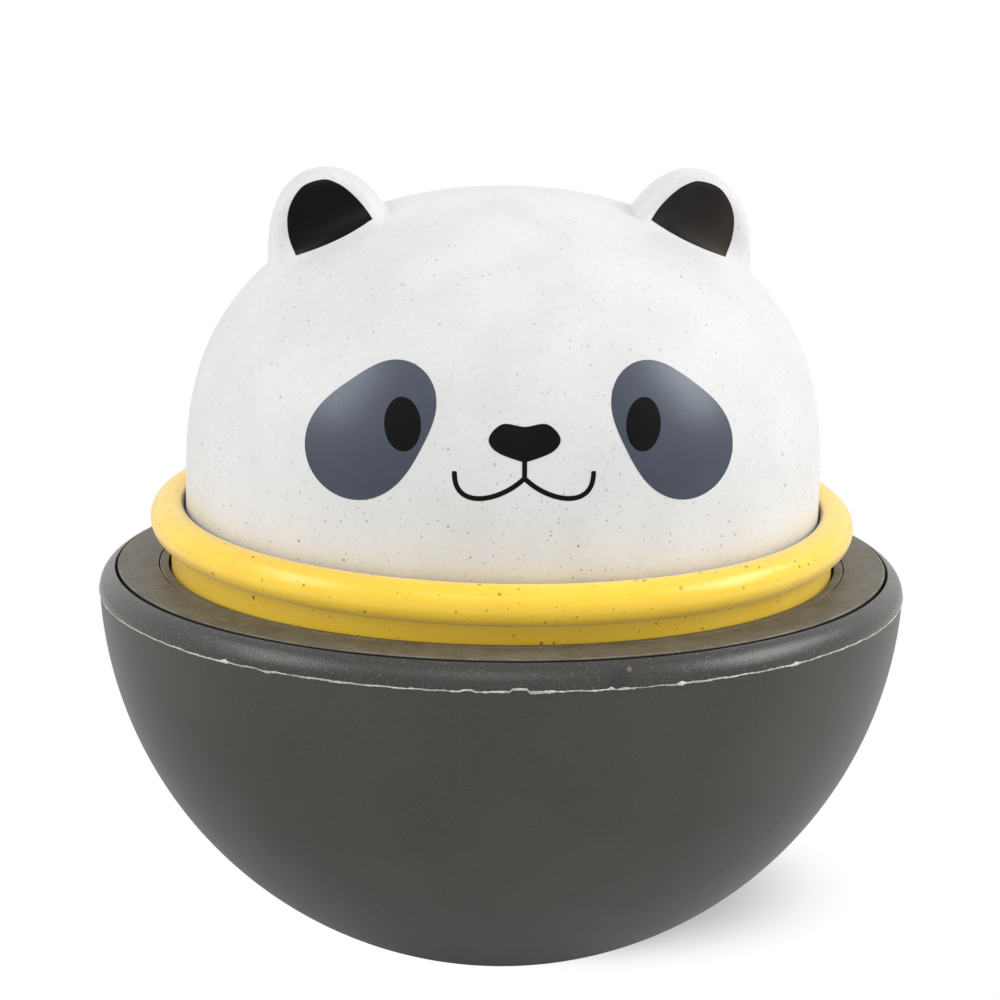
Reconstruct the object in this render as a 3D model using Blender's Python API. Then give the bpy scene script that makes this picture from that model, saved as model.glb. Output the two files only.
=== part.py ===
"""Roly-poly panda toy: a weighted round bowl, a deck with a running gap, and a head that turns in it.

Metres, +Z up, face towards -Y. The origin is the middle of the small flat foot under the bowl.
Heights are measured from the floor, radii from the upright axis through the toy.
"""

import math

import bmesh
import bpy
from mathutils import Matrix, Vector

MM = 0.001

# Fits shared by the pieces
GAP = 0.3 * MM
WELD = 0.002 * MM
RING_SEGMENTS = 48
SMALL_SEGMENTS = 12

# Bowl
BOWL_RADIUS = 50.0 * MM
BOWL_WALL = 2.4 * MM
FOOT_RADIUS = 6.0 * MM
PARTING_DROP = 2.34 * MM
RIM_ROUND = 3.0 * MM
RIM_LAND = 2.0 * MM
LEDGE_WIDTH = 2.5 * MM
SPHERE_HEIGHT = math.sqrt(BOWL_RADIUS**2 - FOOT_RADIUS**2)
PARTING_HEIGHT = SPHERE_HEIGHT - PARTING_DROP
RIM_BORE = BOWL_RADIUS - RIM_LAND
THROAT_RADIUS = RIM_BORE - LEDGE_WIDTH

# Screws
SCREW_SHANK_RADIUS = 1.25 * MM
SCREW_HEAD_RADIUS = 2.6 * MM
SCREW_HEAD_HEIGHT = 1.8 * MM
SCREW_HEAD_STRAIGHT = 0.8 * MM
SCREW_CROWN_RADIUS = 1.95 * MM
SCREW_RECESS_RADIUS = 0.9 * MM
SCREW_RECESS_DEPTH = 0.9 * MM
SCREW_TIP_RADIUS = 0.4 * MM
SCREW_BORE = SCREW_SHANK_RADIUS + GAP
SCREW_COUNT = 3

# Ballast, its plate and the bosses that both are screwed to
BALLAST_TOP = 16.0 * MM
BALLAST_CHAMFER = 1.0 * MM
BOWL_BOSS_CIRCLE = 20.0 * MM
BOWL_BOSS_RADIUS = 3.5 * MM
BALLAST_OVER_BOSS = 4.5 * MM
BOWL_SCREW_DEPTH = 3.5 * MM
BOWL_BOSS_TOP = BALLAST_TOP - BALLAST_OVER_BOSS
BOWL_SCREW_TIP = BOWL_BOSS_TOP - BOWL_SCREW_DEPTH
PLATE_MARGIN = 5.5 * MM
PLATE_THICKNESS = 2.5 * MM
PLATE_RADIUS = BOWL_BOSS_CIRCLE + PLATE_MARGIN
PLATE_BOTTOM = BALLAST_TOP + GAP
PLATE_TOP = PLATE_BOTTOM + PLATE_THICKNESS

# Striker, from the plate upwards
SWING_LIMIT = math.radians(28)
BALL_RADIUS = 4.8 * MM
BALL_CLEARANCE = 1.6 * MM
BALL_DROP = 10.8 * MM
LINK_DROP = 5.0 * MM
BALL_HEIGHT = PLATE_TOP + BALL_CLEARANCE + BALL_RADIUS
STRIKER_PIVOT_HEIGHT = BALL_HEIGHT + BALL_DROP
HANGER_HEIGHT = STRIKER_PIVOT_HEIGHT + LINK_DROP
PIN_RADIUS = 0.8 * MM
PIN_BORE = PIN_RADIUS + GAP
PIN_HEAD_RADIUS = 1.6 * MM
PIN_HEAD = 0.9 * MM
EYE_WALL = 1.5 * MM
LINK_HALF_WIDTH = PIN_BORE + EYE_WALL
LINK_THICKNESS = 3.8 * MM
CHEEK_THICKNESS = 1.8 * MM
CHEEK_WALL = 0.8 * MM
CHEEK_HALF_WIDTH = PIN_BORE + CHEEK_WALL
BRIDGE_THICKNESS = 1.9 * MM
BRIDGE_STEP = 0.2 * MM
STEM_RADIUS = 0.9 * MM

# Chime rods, just beyond the ball's reach, and the uprights outside them
ROD_COUNT = 4
ROD_RADIUS = 1.25 * MM
ROD_CLEARANCE = 0.65 * MM
ROD_SOCKET_WALL = 1.25 * MM
ROD_SOCKET_RISE = 4.0 * MM
ROD_SOCKET_SINK = 0.8 * MM
SHORTEST_ROD_RISE = 15.2 * MM
ROD_STEP = 2.0 * MM
BALL_REACH_ACROSS = BALL_DROP * math.sin(SWING_LIMIT)
BALL_REACH_ALONG = (LINK_DROP + BALL_DROP * math.cos(SWING_LIMIT)) * math.sin(SWING_LIMIT)
BALL_REACH = math.hypot(BALL_REACH_ACROSS, BALL_REACH_ALONG)
ROD_CIRCLE = BALL_REACH + BALL_RADIUS + ROD_CLEARANCE + ROD_RADIUS
ROD_BORE = ROD_RADIUS + GAP
ROD_SOCKET_RADIUS = ROD_BORE + ROD_SOCKET_WALL
ROD_SOCKET_TOP = PLATE_TOP + ROD_SOCKET_RISE
ROD_SOCKET_FLOOR = PLATE_TOP - ROD_SOCKET_SINK
UPRIGHT_CLEARANCE = 0.3 * MM
UPRIGHT_THICKNESS = 3.0 * MM
UPRIGHT_WALL = 2.9 * MM
UPRIGHT_HALF_WIDTH = PIN_BORE + UPRIGHT_WALL
UPRIGHT_INSIDE = ROD_CIRCLE + UPRIGHT_CLEARANCE

# Deck and the ring that the head runs in
DECK_RISE = 3.05 * MM
DECK_THICKNESS = 4.0 * MM
DECK_WIDTH = 4.9 * MM
DECK_EDGE_BREAK = 0.15 * MM
DECK_LIP_THICKNESS = 1.4 * MM
DECK_LIP_WIDTH = 2.6 * MM
DECK_TOP = PARTING_HEIGHT + DECK_RISE
DECK_BOTTOM = DECK_TOP - DECK_THICKNESS
LEDGE_HEIGHT = DECK_BOTTOM - GAP
DECK_RADIUS = RIM_BORE - GAP
DECK_REBATE = DECK_RADIUS - DECK_WIDTH
DECK_LIP_BORE = DECK_REBATE - DECK_LIP_WIDTH
DECK_LIP_TOP = DECK_BOTTOM + DECK_LIP_THICKNESS
BEARING_FLANGE = 1.05 * MM
BEARING_SEAT_THICKNESS = 0.9 * MM
BEARING_SEAT_WIDTH = 2.5 * MM
BEARING_RADIUS = DECK_REBATE - GAP
BEARING_FLANGE_BORE = BEARING_RADIUS - BEARING_FLANGE
BEARING_BORE = BEARING_RADIUS - BEARING_SEAT_WIDTH
BEARING_BOTTOM = DECK_LIP_TOP + GAP
BEARING_SEAT_TOP = BEARING_BOTTOM + BEARING_SEAT_THICKNESS

# Collar under the head, and the ring that keeps it down
RUNNING_GAP = 0.39 * MM
NECK_GAP = 0.4 * MM
COLLAR_WALL = 1.52 * MM
COLLAR_SINK = 0.05 * MM
COLLAR_FLOOR_THICKNESS = 4.0 * MM
COLLAR_FLOOR_WIDTH = 8.6 * MM
BEAD_RADIUS = 2.55 * MM
BEAD_INSET = 0.03 * MM
BEAD_RISE = 4.42 * MM
COLLAR_NECK_RADIUS = BEARING_BORE - NECK_GAP
COLLAR_BAND_RADIUS = BEARING_FLANGE_BORE - RUNNING_GAP
COLLAR_BORE = COLLAR_BAND_RADIUS - COLLAR_WALL
COLLAR_BOTTOM = DECK_BOTTOM - COLLAR_SINK
COLLAR_FLOOR_TOP = COLLAR_BOTTOM + COLLAR_FLOOR_THICKNESS
COLLAR_FLOOR_BORE = COLLAR_NECK_RADIUS - COLLAR_FLOOR_WIDTH
BEAD_CENTRE_RADIUS = COLLAR_BAND_RADIUS - BEAD_INSET
BEAD_CENTRE_HEIGHT = DECK_TOP + BEAD_RISE
RETAINER_LIP = 3.3 * MM
RETAINER_THICKNESS = 2.3 * MM
RETAINER_RADIUS = DECK_LIP_BORE + RETAINER_LIP
RETAINER_TOP = COLLAR_BOTTOM - GAP

# Head
HEAD_STRAIGHT = 10.0 * MM
HEAD_DOME_HEIGHT = 36.0 * MM
HEAD_WALL = 2.2 * MM
DOME_POWER_ACROSS = 2.02
DOME_POWER_UP = 2.63
HEAD_RADIUS = COLLAR_BORE - GAP
HEAD_RIM = COLLAR_FLOOR_TOP + GAP
HEAD_STRAIGHT_TOP = HEAD_RIM + HEAD_STRAIGHT
HEAD_BOSS_RADIUS = 3.2 * MM
HEAD_BOSS_SINK = 0.56 * MM
HEAD_SCREW_GRIP = 6.9 * MM
HEAD_BOSS_CAP = 1.5 * MM
HEAD_BOSS_CIRCLE = HEAD_RADIUS - HEAD_WALL + HEAD_BOSS_SINK - HEAD_BOSS_RADIUS
HEAD_BOSS_HEIGHT = HEAD_SCREW_GRIP + HEAD_BOSS_CAP
CUT_REACH = 1.5 * HEAD_RADIUS

# Ears
EAR_INSET = 19.07 * MM
EAR_FORWARD = 2.6 * MM
EAR_RISE = 34.94 * MM
EAR_HALF_WIDTH = 8.38 * MM
EAR_HALF_LENGTH = 13.94 * MM
EAR_HALF_DEPTH = 5.2 * MM
EAR_LEAN = math.radians(15.1)
EAR_OUTLINE_POWER = 2.14
EAR_EDGE_POWER = 3.0
EAR_INLAY_MARGIN = 1.7 * MM
EAR_ACROSS = HEAD_RADIUS - EAR_INSET
EAR_HEIGHT = HEAD_RIM + EAR_RISE

# Printed face. Each point is given where it lies on the dome: across, and its rise above the head's rim
PRINT_THICKNESS = 0.6 * MM
PATCH_LOW_ACROSS = 19.54 * MM
PATCH_LOW_RISE = 19.78 * MM
PATCH_HIGH_ACROSS = 13.24 * MM
PATCH_HIGH_RISE = 27.22 * MM
PATCH_LOW_WEIGHT = 0.612
PATCH_SIZE = 7.34 * MM
PATCH_LOW_FOCUS = (PATCH_LOW_ACROSS, HEAD_RIM + PATCH_LOW_RISE)
PATCH_HIGH_FOCUS = (PATCH_HIGH_ACROSS, HEAD_RIM + PATCH_HIGH_RISE)
EYE_ACROSS = 13.6 * MM
EYE_RISE = 23.73 * MM
EYE_HALF_WIDTH = 2.04 * MM
EYE_HALF_HEIGHT = 2.94 * MM
EYE_CENTRE = (EYE_ACROSS, HEAD_RIM + EYE_RISE)
NOSE_DIP_RISE = 23.94 * MM
NOSE_SHOULDER_ACROSS = 2.5 * MM
NOSE_SHOULDER_RISE = 24.2 * MM
NOSE_SIDE_ACROSS = 4.02 * MM
NOSE_SIDE_RISE = 22.66 * MM
NOSE_CHEEK_ACROSS = 3.14 * MM
NOSE_CHEEK_RISE = 21.2 * MM
NOSE_TIP_ACROSS = 0.29 * MM
NOSE_TIP_RISE = 20.14 * MM
NOSE_TOP_DIP = (0.0, HEAD_RIM + NOSE_DIP_RISE)
NOSE_SHOULDER = (NOSE_SHOULDER_ACROSS, HEAD_RIM + NOSE_SHOULDER_RISE)
NOSE_SIDE = (NOSE_SIDE_ACROSS, HEAD_RIM + NOSE_SIDE_RISE)
NOSE_CHEEK = (NOSE_CHEEK_ACROSS, HEAD_RIM + NOSE_CHEEK_RISE)
NOSE_TIP = (NOSE_TIP_ACROSS, HEAD_RIM + NOSE_TIP_RISE)
LINE_WIDTH = 0.56 * MM
MOUTH_MIDDLE_RISE = 18.32 * MM
MOUTH_INNER_ACROSS = 2.55 * MM
MOUTH_INNER_RISE = 15.76 * MM
MOUTH_OUTER_ACROSS = 8.09 * MM
MOUTH_OUTER_RISE = 14.4 * MM
MOUTH_CORNER_ACROSS = 7.8 * MM
MOUTH_CORNER_RISE = 19.07 * MM
MOUTH_MIDDLE = (0.0, HEAD_RIM + MOUTH_MIDDLE_RISE)
MOUTH_INNER_PULL = (MOUTH_INNER_ACROSS, HEAD_RIM + MOUTH_INNER_RISE)
MOUTH_OUTER_PULL = (MOUTH_OUTER_ACROSS, HEAD_RIM + MOUTH_OUTER_RISE)
MOUTH_CORNER = (MOUTH_CORNER_ACROSS, HEAD_RIM + MOUTH_CORNER_RISE)


def clear_scene():
    for item in list(bpy.data.objects):
        bpy.data.objects.remove(item, do_unlink=True)


def make_material(name, colour, roughness, metallic=0.0):
    material = bpy.data.materials.new(name)
    material.use_nodes = True
    shader = material.node_tree.nodes["Principled BSDF"]
    shader.inputs["Base Color"].default_value = (*colour, 1.0)
    shader.inputs["Roughness"].default_value = roughness
    shader.inputs["Metallic"].default_value = metallic
    material.diffuse_color = (*colour, 1.0)
    return material


def new_object(name, bm):
    """An object from a bmesh, with its faces turned outwards."""
    bmesh.ops.recalc_face_normals(bm, faces=bm.faces)
    mesh = bpy.data.meshes.new(name)
    bm.to_mesh(mesh)
    bm.free()
    item = bpy.data.objects.new(name, mesh)
    bpy.context.scene.collection.objects.link(item)
    return item


def turned(name, profile, segments=RING_SEGMENTS, matrix=None):
    """Body turned about Z from (radius, height) points: a closed loop, or a line that ends on the axis."""
    bm = bmesh.new()
    rings = []
    for radius, height in profile:
        if radius < 1e-7:
            rings.append([bm.verts.new((0.0, 0.0, height))])
            continue
        angles = [2 * math.pi * (i + 0.5) / segments for i in range(segments)]
        rings.append([bm.verts.new((radius * math.cos(a), radius * math.sin(a), height)) for a in angles])
    pairs = list(zip(rings, rings[1:]))
    if len(rings[0]) > 1 and len(rings[-1]) > 1:
        pairs.append((rings[-1], rings[0]))
    for lower, upper in pairs:
        bridge(bm, lower, upper)
    if matrix is not None:
        bmesh.ops.transform(bm, matrix=matrix, verts=bm.verts)
    return new_object(name, bm)


def bridge(bm, lower, upper):
    """Faces between two rings. A ring level with a point on the axis is closed by one flat face."""
    sizes = (len(lower), len(upper))
    level = abs(lower[0].co.z - upper[0].co.z) < 1e-9
    if min(sizes) == 1 and level:
        pole, ring = (lower, upper) if sizes[0] == 1 else (upper, lower)
        bm.verts.remove(pole[0])
        bm.faces.new(ring)
        return
    for i in range(max(sizes)):
        j = (i + 1) % max(sizes)
        corners = [lower[i % sizes[0]], lower[j % sizes[0]], upper[j % sizes[1]], upper[i % sizes[1]]]
        bm.faces.new(list(dict.fromkeys(corners)))


def cylinder(name, radius, bottom, top, at=(0.0, 0.0), segments=SMALL_SEGMENTS):
    place = Matrix.Translation((at[0], at[1], 0.0))
    return turned(name, [(0.0, bottom), (radius, bottom), (radius, top), (0.0, top)], segments, place)


def block(name, low, high):
    bm = bmesh.new()
    size = Vector(high) - Vector(low)
    centre = (Vector(high) + Vector(low)) / 2
    place = Matrix.Translation(centre) @ Matrix.Diagonal((*size, 1.0))
    bmesh.ops.create_cube(bm, size=1.0, matrix=place)
    return new_object(name, bm)


def prism(name, outline, near, far):
    """Straight bar along Y whose section is an outline of (across, height) points."""
    bm = bmesh.new()
    front = [bm.verts.new((x, near, z)) for x, z in outline]
    back = [bm.verts.new((x, far, z)) for x, z in outline]
    bm.faces.new(front)
    bm.faces.new(list(reversed(back)))
    for i in range(len(front)):
        j = (i + 1) % len(front)
        bm.faces.new([front[i], back[i], back[j], front[j]])
    return new_object(name, bm)


def combine(item, other, operation):
    """Applies one Boolean to the item and removes the other body."""
    other.hide_render = True
    other.display_type = "WIRE"
    step = item.modifiers.new("combine", "BOOLEAN")
    step.operation = operation
    step.solver = "EXACT"
    step.object = other
    graph = bpy.context.evaluated_depsgraph_get()
    bm = bmesh.new()
    bm.from_mesh(item.evaluated_get(graph).data)
    bmesh.ops.remove_doubles(bm, verts=bm.verts, dist=WELD)
    bmesh.ops.dissolve_degenerate(bm, edges=bm.edges, dist=WELD)
    item.modifiers.clear()
    bm.to_mesh(item.data)
    bm.free()
    bpy.data.objects.remove(other, do_unlink=True)
    return item


def join(item, other):
    return combine(item, other, "UNION")


def cut(item, other):
    return combine(item, other, "DIFFERENCE")


def keep(item, other):
    return combine(item, other, "INTERSECT")


def finish(item, name, material, smooth=True):
    item.name = name
    item.data.name = name
    item.data.materials.clear()
    item.data.materials.append(material)
    if smooth:
        item.data.shade_smooth()
        item.data.set_sharp_from_angle(angle=math.radians(35))
    return item


def arc(centre, radius, start, end, steps):
    """Points on a circle, angles in degrees from straight outwards."""
    turns = [math.radians(start + (end - start) * i / steps) for i in range(steps + 1)]
    return [(centre[0] + radius * math.cos(t), centre[1] + radius * math.sin(t)) for t in turns]


def around(circle, count, first_degrees):
    """Places evenly spaced on a circle about the upright axis."""
    turns = [math.radians(first_degrees + 360 * i / count) for i in range(count)]
    return [(circle * math.cos(t), circle * math.sin(t)) for t in turns]


def sphere_angle(radius, at_radius):
    """Angle below level, in degrees, where a sphere has the given radius about the upright axis."""
    return -math.degrees(math.acos(at_radius / radius))


def dome_profile(inset, bottom, steps):
    """Half outline of the head: straight side, then a superellipse closing at the top."""
    across = HEAD_RADIUS - inset
    rise = HEAD_DOME_HEIGHT - inset
    points = [(0.0, bottom), (across, bottom)]
    for i in range(steps + 1):
        t = math.pi / 2 * i / steps
        radius = across * math.cos(t) ** (2 / DOME_POWER_ACROSS)
        height = HEAD_STRAIGHT_TOP + rise * math.sin(t) ** (2 / DOME_POWER_UP)
        points.append((0.0 if i == steps else radius, height))
    return points


def dome(name, inset, bottom=HEAD_RIM, steps=12):
    return turned(name, dome_profile(inset, bottom, steps))


def ear_outline(angle, inset=0.0):
    """Point of the leaning ear's outline, relative to the ear's centre, for the right-hand ear."""
    c, s = math.cos(angle), math.sin(angle)
    power = 2 / EAR_OUTLINE_POWER
    across = (EAR_HALF_WIDTH - inset) * math.copysign(abs(c) ** power, c)
    along = (EAR_HALF_LENGTH - inset) * math.copysign(abs(s) ** power, s)
    x = across * math.cos(EAR_LEAN) + along * math.sin(EAR_LEAN)
    z = along * math.cos(EAR_LEAN) - across * math.sin(EAR_LEAN)
    return x, z


def ear_body(name, side, shift=0.0, around_steps=28, over_steps=10):
    """Ear lobe: an oval cushion with a rounded edge, its poles in front and behind."""
    bm = bmesh.new()
    rings = []
    for j in range(over_steps + 1):
        t = math.pi * (j / over_steps - 0.5)
        share = max(math.cos(t), 0.0) ** (2 / EAR_EDGE_POWER)
        depth = EAR_HALF_DEPTH * math.copysign(abs(math.sin(t)) ** (2 / EAR_EDGE_POWER), math.sin(t))
        y = depth + shift - EAR_FORWARD
        if j in (0, over_steps):
            rings.append([bm.verts.new((side * EAR_ACROSS, y, EAR_HEIGHT))])
            continue
        ring = []
        for i in range(around_steps):
            x, z = ear_outline(2 * math.pi * i / around_steps)
            ring.append(bm.verts.new((side * (EAR_ACROSS + share * x), y, EAR_HEIGHT + share * z)))
        rings.append(ring)
    for lower, upper in zip(rings, rings[1:]):
        bridge(bm, lower, upper)
    return new_object(name, bm)


def ellipse(centre, half_width, half_height, count=24):
    turns = [2 * math.pi * i / count for i in range(count)]
    return [(centre[0] + half_width * math.cos(t), centre[1] + half_height * math.sin(t)) for t in turns]


def patch_outline(side, margin, count=36):
    """Egg round two points: the weighted product of the distances to them stays the same."""
    low, high = PATCH_LOW_FOCUS, PATCH_HIGH_FOCUS
    centre = ((low[0] + high[0]) / 2, (low[1] + high[1]) / 2)
    outline = []
    for i in range(count):
        t = 2 * math.pi * i / count
        near, far = 0.0, 4 * PATCH_SIZE
        for _ in range(40):
            reach = (near + far) / 2
            x = centre[0] + reach * math.cos(t)
            z = centre[1] + reach * math.sin(t)
            to_low = math.hypot(x - low[0], z - low[1])
            to_high = math.hypot(x - high[0], z - high[1])
            size = to_low**PATCH_LOW_WEIGHT * to_high ** (1 - PATCH_LOW_WEIGHT)
            if size < PATCH_SIZE:
                near = reach
            else:
                far = reach
        outline.append((x, z))
    return [(side * x, z) for x, z in grown(outline, margin)]


def grown(outline, margin):
    """A closed outline moved outwards by a margin, corner by corner."""
    if margin == 0.0:
        return outline
    area = sum(a[0] * b[1] - b[0] * a[1] for a, b in zip(outline, outline[1:] + outline[:1]))
    turn = math.copysign(1.0, area)
    result = []
    for i, (x, z) in enumerate(outline):
        before = outline[i - 1]
        after = outline[(i + 1) % len(outline)]
        along = Vector((after[0] - before[0], after[1] - before[1])).normalized()
        result.append((x + turn * margin * along.y, z - turn * margin * along.x))
    return result


def closed_curve(corners, steps=4):
    """Smooth closed outline through its corners."""
    count = len(corners)
    outline = []
    for i in range(count):
        p0, p1, p2, p3 = (Vector(corners[(i + k) % count]) for k in (-1, 0, 1, 2))
        for step in range(steps):
            t = step / steps
            point = p1 * (2 - 5 * t * t + 3 * t**3) + p2 * (t + 4 * t * t - 3 * t**3)
            point += p0 * (-t + 2 * t * t - t**3) + p3 * (t**3 - t * t)
            outline.append(tuple(point / 2))
    return outline


def nose_outline(margin):
    right = [NOSE_SHOULDER, NOSE_SIDE, NOSE_CHEEK, NOSE_TIP]
    left = [(-x, z) for x, z in reversed(right)]
    return grown(closed_curve([NOSE_TOP_DIP] + right + left), margin)


def mouth_outline(side, margin, steps=14):
    """Line of even width with round ends, along one smooth curve from the lip to the corner."""
    half = LINE_WIDTH / 2 + margin
    corners = (MOUTH_MIDDLE, MOUTH_INNER_PULL, MOUTH_OUTER_PULL, MOUTH_CORNER)
    p0, p1, p2, p3 = (Vector(corner) for corner in corners)
    points = []
    for i in range(steps + 1):
        t = i / steps
        blend = p0 * (1 - t) ** 3 + p1 * 3 * t * (1 - t) ** 2 + p2 * 3 * t * t * (1 - t) + p3 * t**3
        points.append(blend)
    headings = [(b - a).normalized() for a, b in zip(points, points[1:])]
    headings.append(headings[-1])
    over = [(p.x - half * h.y, p.y + half * h.x) for p, h in zip(points, headings)]
    under = [(p.x + half * h.y, p.y - half * h.x) for p, h in zip(points, headings)]
    outline = over + end_cap(points[-1], headings[-1], half) + list(reversed(under))
    outline += end_cap(points[0], -headings[0], half)
    return [(side * x, z) for x, z in outline]


def end_cap(point, heading, half, steps=4):
    """Round end of a line, between its two edges."""
    cap = []
    for i in range(1, steps):
        t = math.pi / 2 - math.pi * i / steps
        forward = half * math.cos(t)
        across = half * math.sin(t)
        cap.append((point.x + heading.x * forward - heading.y * across,
                    point.y + heading.y * forward + heading.x * across))
    return cap


def nose_and_mouth_bar(name, margin):
    """Nose, the line under it and both halves of the mouth, as one bar through the face."""
    half = LINE_WIDTH / 2 + margin
    top = (NOSE_CHEEK[1] + NOSE_TIP[1]) / 2
    low = MOUTH_MIDDLE[1] - half
    line = [(-half, low), (half, low), (half, top), (-half, top)]
    bar = prism(name, nose_outline(margin), -CUT_REACH, 0.0)
    join(bar, prism("line", line, -CUT_REACH - GAP, GAP))
    for side, extra in ((-1, 2 * GAP), (1, 3 * GAP)):
        join(bar, prism("lip", mouth_outline(side, margin), -CUT_REACH - extra, extra))
    return bar


def on_dome(bar):
    """Thin print that follows the front of the dome, cut out of a bar."""
    keep(bar, dome("skin", 0.0))
    return cut(bar, dome("under", PRINT_THICKNESS))


def dome_recess(bar):
    """Cutter for the shallow bed that a print lies in."""
    return cut(bar, dome("bed", PRINT_THICKNESS + GAP))


def ear_bar(name, side, inset):
    """Bar through one ear, inside the ear's own outline."""
    count = 40
    outline = []
    for i in range(count):
        x, z = ear_outline(2 * math.pi * i / count, inset)
        outline.append((side * (EAR_ACROSS + x), EAR_HEIGHT + z))
    return prism(name, outline, -2 * EAR_HALF_LENGTH, -EAR_FORWARD)


def ear_inlay(side):
    inlay = keep(ear_bar("inlay", side, EAR_INLAY_MARGIN), ear_body("skin", side))
    cut(inlay, ear_body("under", side, PRINT_THICKNESS))
    return cut(inlay, dome("base", -2 * GAP))


def ear_recess(side):
    bed = cut(ear_bar("bed", side, EAR_INLAY_MARGIN - GAP), ear_body("under", side, PRINT_THICKNESS + GAP))
    return cut(bed, dome("base", -GAP))


def screw(name, at, head_bottom, head_up, tip):
    """Pan-head screw along Z, its head at the given height and its tip away from it."""
    sign = 1 if head_up else -1
    crown = head_bottom + sign * SCREW_HEAD_HEIGHT
    recess = crown - sign * SCREW_RECESS_DEPTH
    profile = [
        (0.0, tip),
        (SCREW_TIP_RADIUS, tip),
        (SCREW_SHANK_RADIUS, tip + sign * SCREW_SHANK_RADIUS),
        (SCREW_SHANK_RADIUS, head_bottom),
        (SCREW_HEAD_RADIUS, head_bottom),
        (SCREW_HEAD_RADIUS, head_bottom + sign * SCREW_HEAD_STRAIGHT),
        (SCREW_CROWN_RADIUS, crown),
        (SCREW_RECESS_RADIUS, crown),
        (SCREW_RECESS_RADIUS, recess),
        (0.0, recess),
    ]
    return turned(name, profile, SMALL_SEGMENTS, Matrix.Translation((at[0], at[1], 0.0)))


def pin(name, half_grip, height, along):
    """Pin with a small head at each end, along X or along Y through the upright axis."""
    end = half_grip + GAP + PIN_HEAD
    shoulder = half_grip + GAP
    profile = [
        (0.0, -end),
        (PIN_HEAD_RADIUS, -end),
        (PIN_HEAD_RADIUS, -shoulder),
        (PIN_RADIUS, -shoulder),
        (PIN_RADIUS, shoulder),
        (PIN_HEAD_RADIUS, shoulder),
        (PIN_HEAD_RADIUS, end),
        (0.0, end),
    ]
    turn = Matrix.Rotation(math.pi / 2, 4, "Y" if along == "X" else "X")
    return turned(name, profile, SMALL_SEGMENTS, Matrix.Translation((0.0, 0.0, height)) @ turn)


def cross_bore(name, radius, half_length, height, along):
    turn = Matrix.Rotation(math.pi / 2, 4, "Y" if along == "X" else "X")
    profile = [(0.0, -half_length), (radius, -half_length), (radius, half_length), (0.0, half_length)]
    return turned(name, profile, SMALL_SEGMENTS, Matrix.Translation((0.0, 0.0, height)) @ turn)


def bowl(material):
    inner = BOWL_RADIUS - BOWL_WALL
    centre = (0.0, SPHERE_HEIGHT)
    start = sphere_angle(BOWL_RADIUS, FOOT_RADIUS)
    end = math.degrees(math.asin((PARTING_HEIGHT - SPHERE_HEIGHT) / BOWL_RADIUS))
    rim_centre = (BOWL_RADIUS - RIM_ROUND, PARTING_HEIGHT)
    rim_end = math.degrees(math.acos((RIM_BORE - rim_centre[0]) / RIM_ROUND))
    profile = [(0.0, 0.0)] + arc(centre, BOWL_RADIUS, start, end, 11)
    profile += arc(rim_centre, RIM_ROUND, 0, rim_end, 4)
    profile += [(RIM_BORE, LEDGE_HEIGHT), (THROAT_RADIUS, LEDGE_HEIGHT)]
    profile += arc(centre, inner, sphere_angle(inner, THROAT_RADIUS), -90, 8)[:-1]
    profile += [(0.0, SPHERE_HEIGHT - inner)]
    item = turned("bowl", profile)
    places = around(BOWL_BOSS_CIRCLE, SCREW_COUNT, 90)
    middle_wall = BOWL_RADIUS - BOWL_WALL / 2
    for at in places:
        boss = cylinder("boss", BOWL_BOSS_RADIUS, 0.0, BOWL_BOSS_TOP, at)
        ball = arc(centre, middle_wall, -90, 0, 12)
        ball[0] = (0.0, SPHERE_HEIGHT - middle_wall)
        keep(boss, turned("ball", ball + [(0.0, SPHERE_HEIGHT)]))
        join(item, boss)
    for at in places:
        cut(item, cylinder("bore", SCREW_BORE, BOWL_SCREW_TIP - GAP, BOWL_BOSS_TOP + GAP, at))
    return finish(item, "base_bowl", material)


def ballast(material):
    under = BOWL_RADIUS - BOWL_WALL - GAP
    edge_height = BALLAST_TOP - BALLAST_CHAMFER
    edge_radius = math.sqrt(under**2 - (SPHERE_HEIGHT - edge_height) ** 2)
    edge_angle = sphere_angle(under, edge_radius)
    profile = arc((0.0, SPHERE_HEIGHT), under, -90, edge_angle, 5)
    profile[0] = (0.0, SPHERE_HEIGHT - under)
    profile += [(edge_radius - BALLAST_CHAMFER, BALLAST_TOP), (0.0, BALLAST_TOP)]
    item = turned("ballast", profile)
    for at in around(BOWL_BOSS_CIRCLE, SCREW_COUNT, 90):
        wide = BOWL_BOSS_RADIUS + GAP
        step = BOWL_BOSS_TOP + GAP
        bore = [(0.0, 0.0), (wide, 0.0), (wide, step), (SCREW_BORE, step)]
        bore += [(SCREW_BORE, BALLAST_TOP + GAP), (0.0, BALLAST_TOP + GAP)]
        cut(item, turned("bore", bore, SMALL_SEGMENTS, Matrix.Translation((*at, 0.0))))
    return finish(item, "ballast_weight", material)


def ballast_screws(material):
    seat = PLATE_TOP + GAP
    places = around(BOWL_BOSS_CIRCLE, SCREW_COUNT, 90)
    for index, at in enumerate(places):
        finish(screw("screw", at, seat, True, BOWL_SCREW_TIP), f"ballast_screw_{index + 1}", material)


def rod_places():
    return around(ROD_CIRCLE, ROD_COUNT, 45)


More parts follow.
